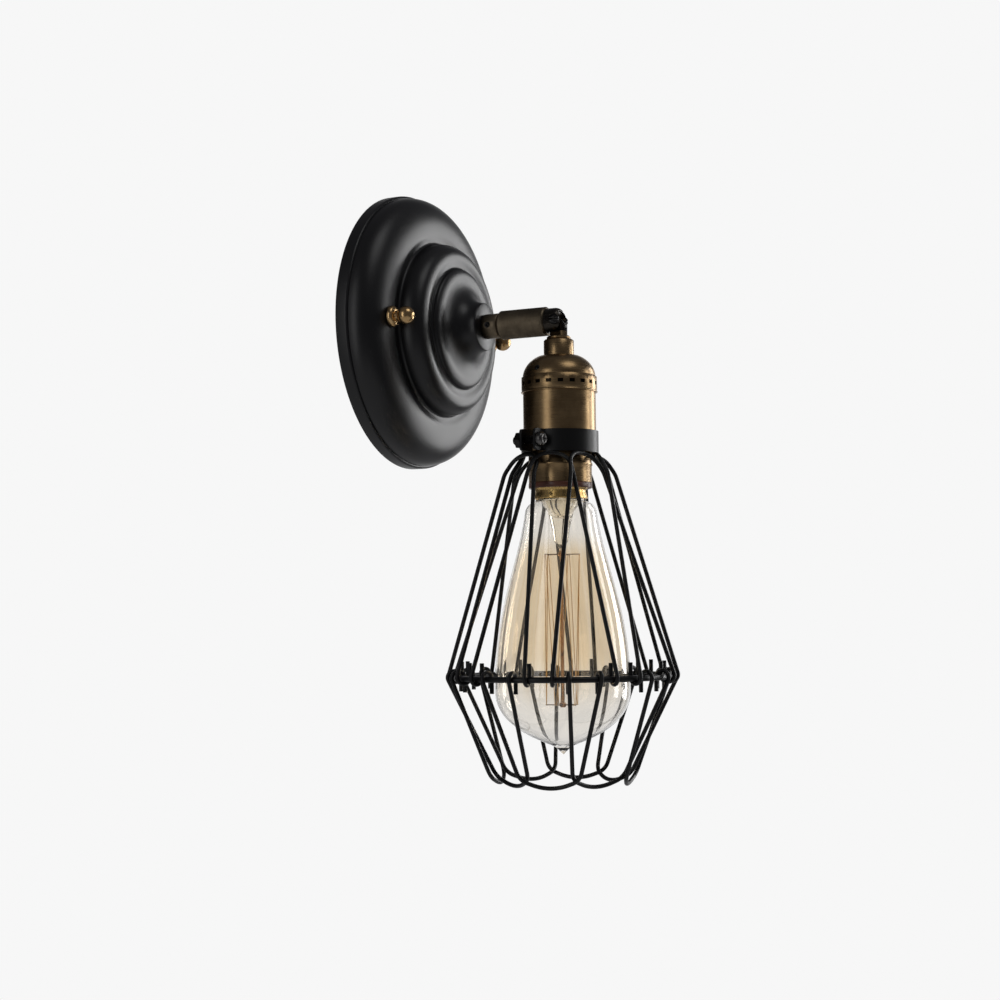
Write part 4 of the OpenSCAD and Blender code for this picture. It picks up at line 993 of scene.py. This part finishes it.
def glass_outline(t):
    """(radius, z) of the bulb's wall from the cap down to the tip, sunk by t.

    The seat, the shoulder and the cone are measured from the cap's lower edge, the chin from the
    bulb's lowest point. The cone and the chin meet at the belly.
    """
    def from_cap(points):
        return [(radius - t, z) for radius, z in above(BULB_CAP_BOTTOM, points)]

    r = GLASS_R - t
    chin_pull = (CHIN_PULL[0] - t, GLASS_BOTTOM + CHIN_PULL[1] + t * CHIN_SINK)
    chin_end = (CHIN_END[0] - t / 2, GLASS_BOTTOM + CHIN_END[1] + t)
    return (from_cap(GLASS_SEAT) + curve_points(*from_cap(GLASS_SHOULDER), steps=12)
            + curve_points(*from_cap(GLASS_CONE), (r, BELLY_Z + BELLY_PULL_UP), (r, BELLY_Z),
                           steps=48)
            + curve_points((r, BELLY_Z - BELLY_HALF_FLAT), (r, BELLY_Z - BELLY_PULL_DOWN),
                           chin_pull, chin_end, steps=36))


def on_lamp(radius, height, turn):
    return radius * math.cos(turn), radius * math.sin(turn) - REACH, height


def bulb_glass():
    tip = curve_points(*above(GLASS_BOTTOM, DRAWN_TIP), steps=12)
    hollow = [(0.0, GLASS_BOTTOM + TIP_HOLLOW + GLASS_T)]
    profile = glass_outline(0) + tip + hollow + glass_outline(GLASS_T)[::-1]
    return closed_mesh("bulb_glass_blown", turned_bmesh(profile, on_lamp, GLASS_TURNED_STEPS))


def clear_glass(name, colour, roughness=0.0):
    material, nodes, links, glass = new_material(name)
    glass.inputs["Base Color"].default_value = (*colour, 1.0)
    glass.inputs["Roughness"].default_value = roughness
    glass.inputs["IOR"].default_value = GLASS_IOR
    glass.inputs["Transmission Weight"].default_value = 1.0
    return material, nodes, links, glass


def washed_glass():
    """Blown glass with an amber wash: deepest between two heights, streaked down its length."""
    material, nodes, links, glass = clear_glass("amber_glass", CLEAR_GLASS)
    axes = nodes.new("ShaderNodeSeparateXYZ")
    links.new(object_point(nodes), axes.inputs[0])
    x, y, z = axes.outputs
    wash = math_node(nodes, links, "MULTIPLY",
                     ramp(nodes, links, z, *WASH_HEAD, kind="SMOOTHSTEP"),
                     ramp(nodes, links, z, *WASH_FOOT, kind="SMOOTHSTEP"))
    streak = nodes.new("ShaderNodeTexNoise")
    streak.noise_dimensions = "1D"
    streak.inputs["Scale"].default_value = WASH_STREAKS
    streak.inputs["Detail"].default_value = 3.0
    links.new(math_node(nodes, links, "ARCTAN2", math_node(nodes, links, "ADD", y, REACH), x),
              streak.inputs["W"])
    streaked = math_node(nodes, links, "MULTIPLY", wash, math_node(
        nodes, links, "MULTIPLY_ADD", streak.outputs["Fac"], WASH_STREAK_SHARE, WASH_EVEN_SHARE))
    tint = blend(nodes, links, streaked, PALE_AMBER, DEEP_AMBER)
    glancing = nodes.new("ShaderNodeLayerWeight")
    glancing.inputs["Blend"].default_value = EDGE_BLEND
    links.new(blend(nodes, links, glancing.outputs["Facing"], tint, CLEAR_GLASS),
              glass.inputs["Base Color"])
    return material


def stem_glass():
    """Clear flared glass above, stained brown below: the drawn rod between the crowns."""
    material, nodes, links, glass = clear_glass("stem_glass", STEM_GLASS, roughness=0.06)
    axes = nodes.new("ShaderNodeSeparateXYZ")
    links.new(object_point(nodes), axes.inputs[0])
    fade = ramp(nodes, links, axes.outputs[2], ROD_TOP_Z, ROD_TOP_Z - ROD_FADE)
    links.new(blend(nodes, links, fade, STEM_GLASS, ROD_STAIN), glass.inputs["Base Color"])
    return material


bulb_brass = metal("bulb_brass", (0.78, 0.54, 0.22), (0.66, 0.43, 0.15), roughness=0.27,
                   spread=0.06, stretch=(1500.0, 1500.0, 90.0))
black_glass = moulded("black_glass", (0.01, 0.01, 0.012), roughness=0.12)
support_wire = metal("support_wire", (0.33, 0.28, 0.22), (0.22, 0.18, 0.14), roughness=0.35,
                     spread=0.05, stretch=(300.0, 300.0, 300.0))
thread_gold = metal("thread_gold", (0.62, 0.41, 0.19), (0.50, 0.31, 0.13), roughness=0.5,
                    spread=0.05, stretch=(300.0, 300.0, 300.0))
dress(new_piece("bulb_glass_blown", bulb_glass(), washed_glass()), "lamp_head", "amber_glass",
      "bulb_glass")
dress_copy("bulb_cap", "bulb_cap_rolled", bulb_brass, "lamp_head", "bulb_brass", 40)
dress_copy("bulb_stem", "bulb_stem_drawn", stem_glass(), "lamp_head", "stem_glass", 40)
finish_node("bulb_insulator", black_glass)
dress_copy("filament_supports", "filament_supports_wire", support_wire, "lamp_head",
           "support_wire")
dress_copy("filament", "filament_thread", thread_gold, "lamp_head", "filament_gold")


# ---- Colour view --------------------------------------------------------------------------------
scene = bpy.context.scene
scene.view_settings.view_transform = "Standard"
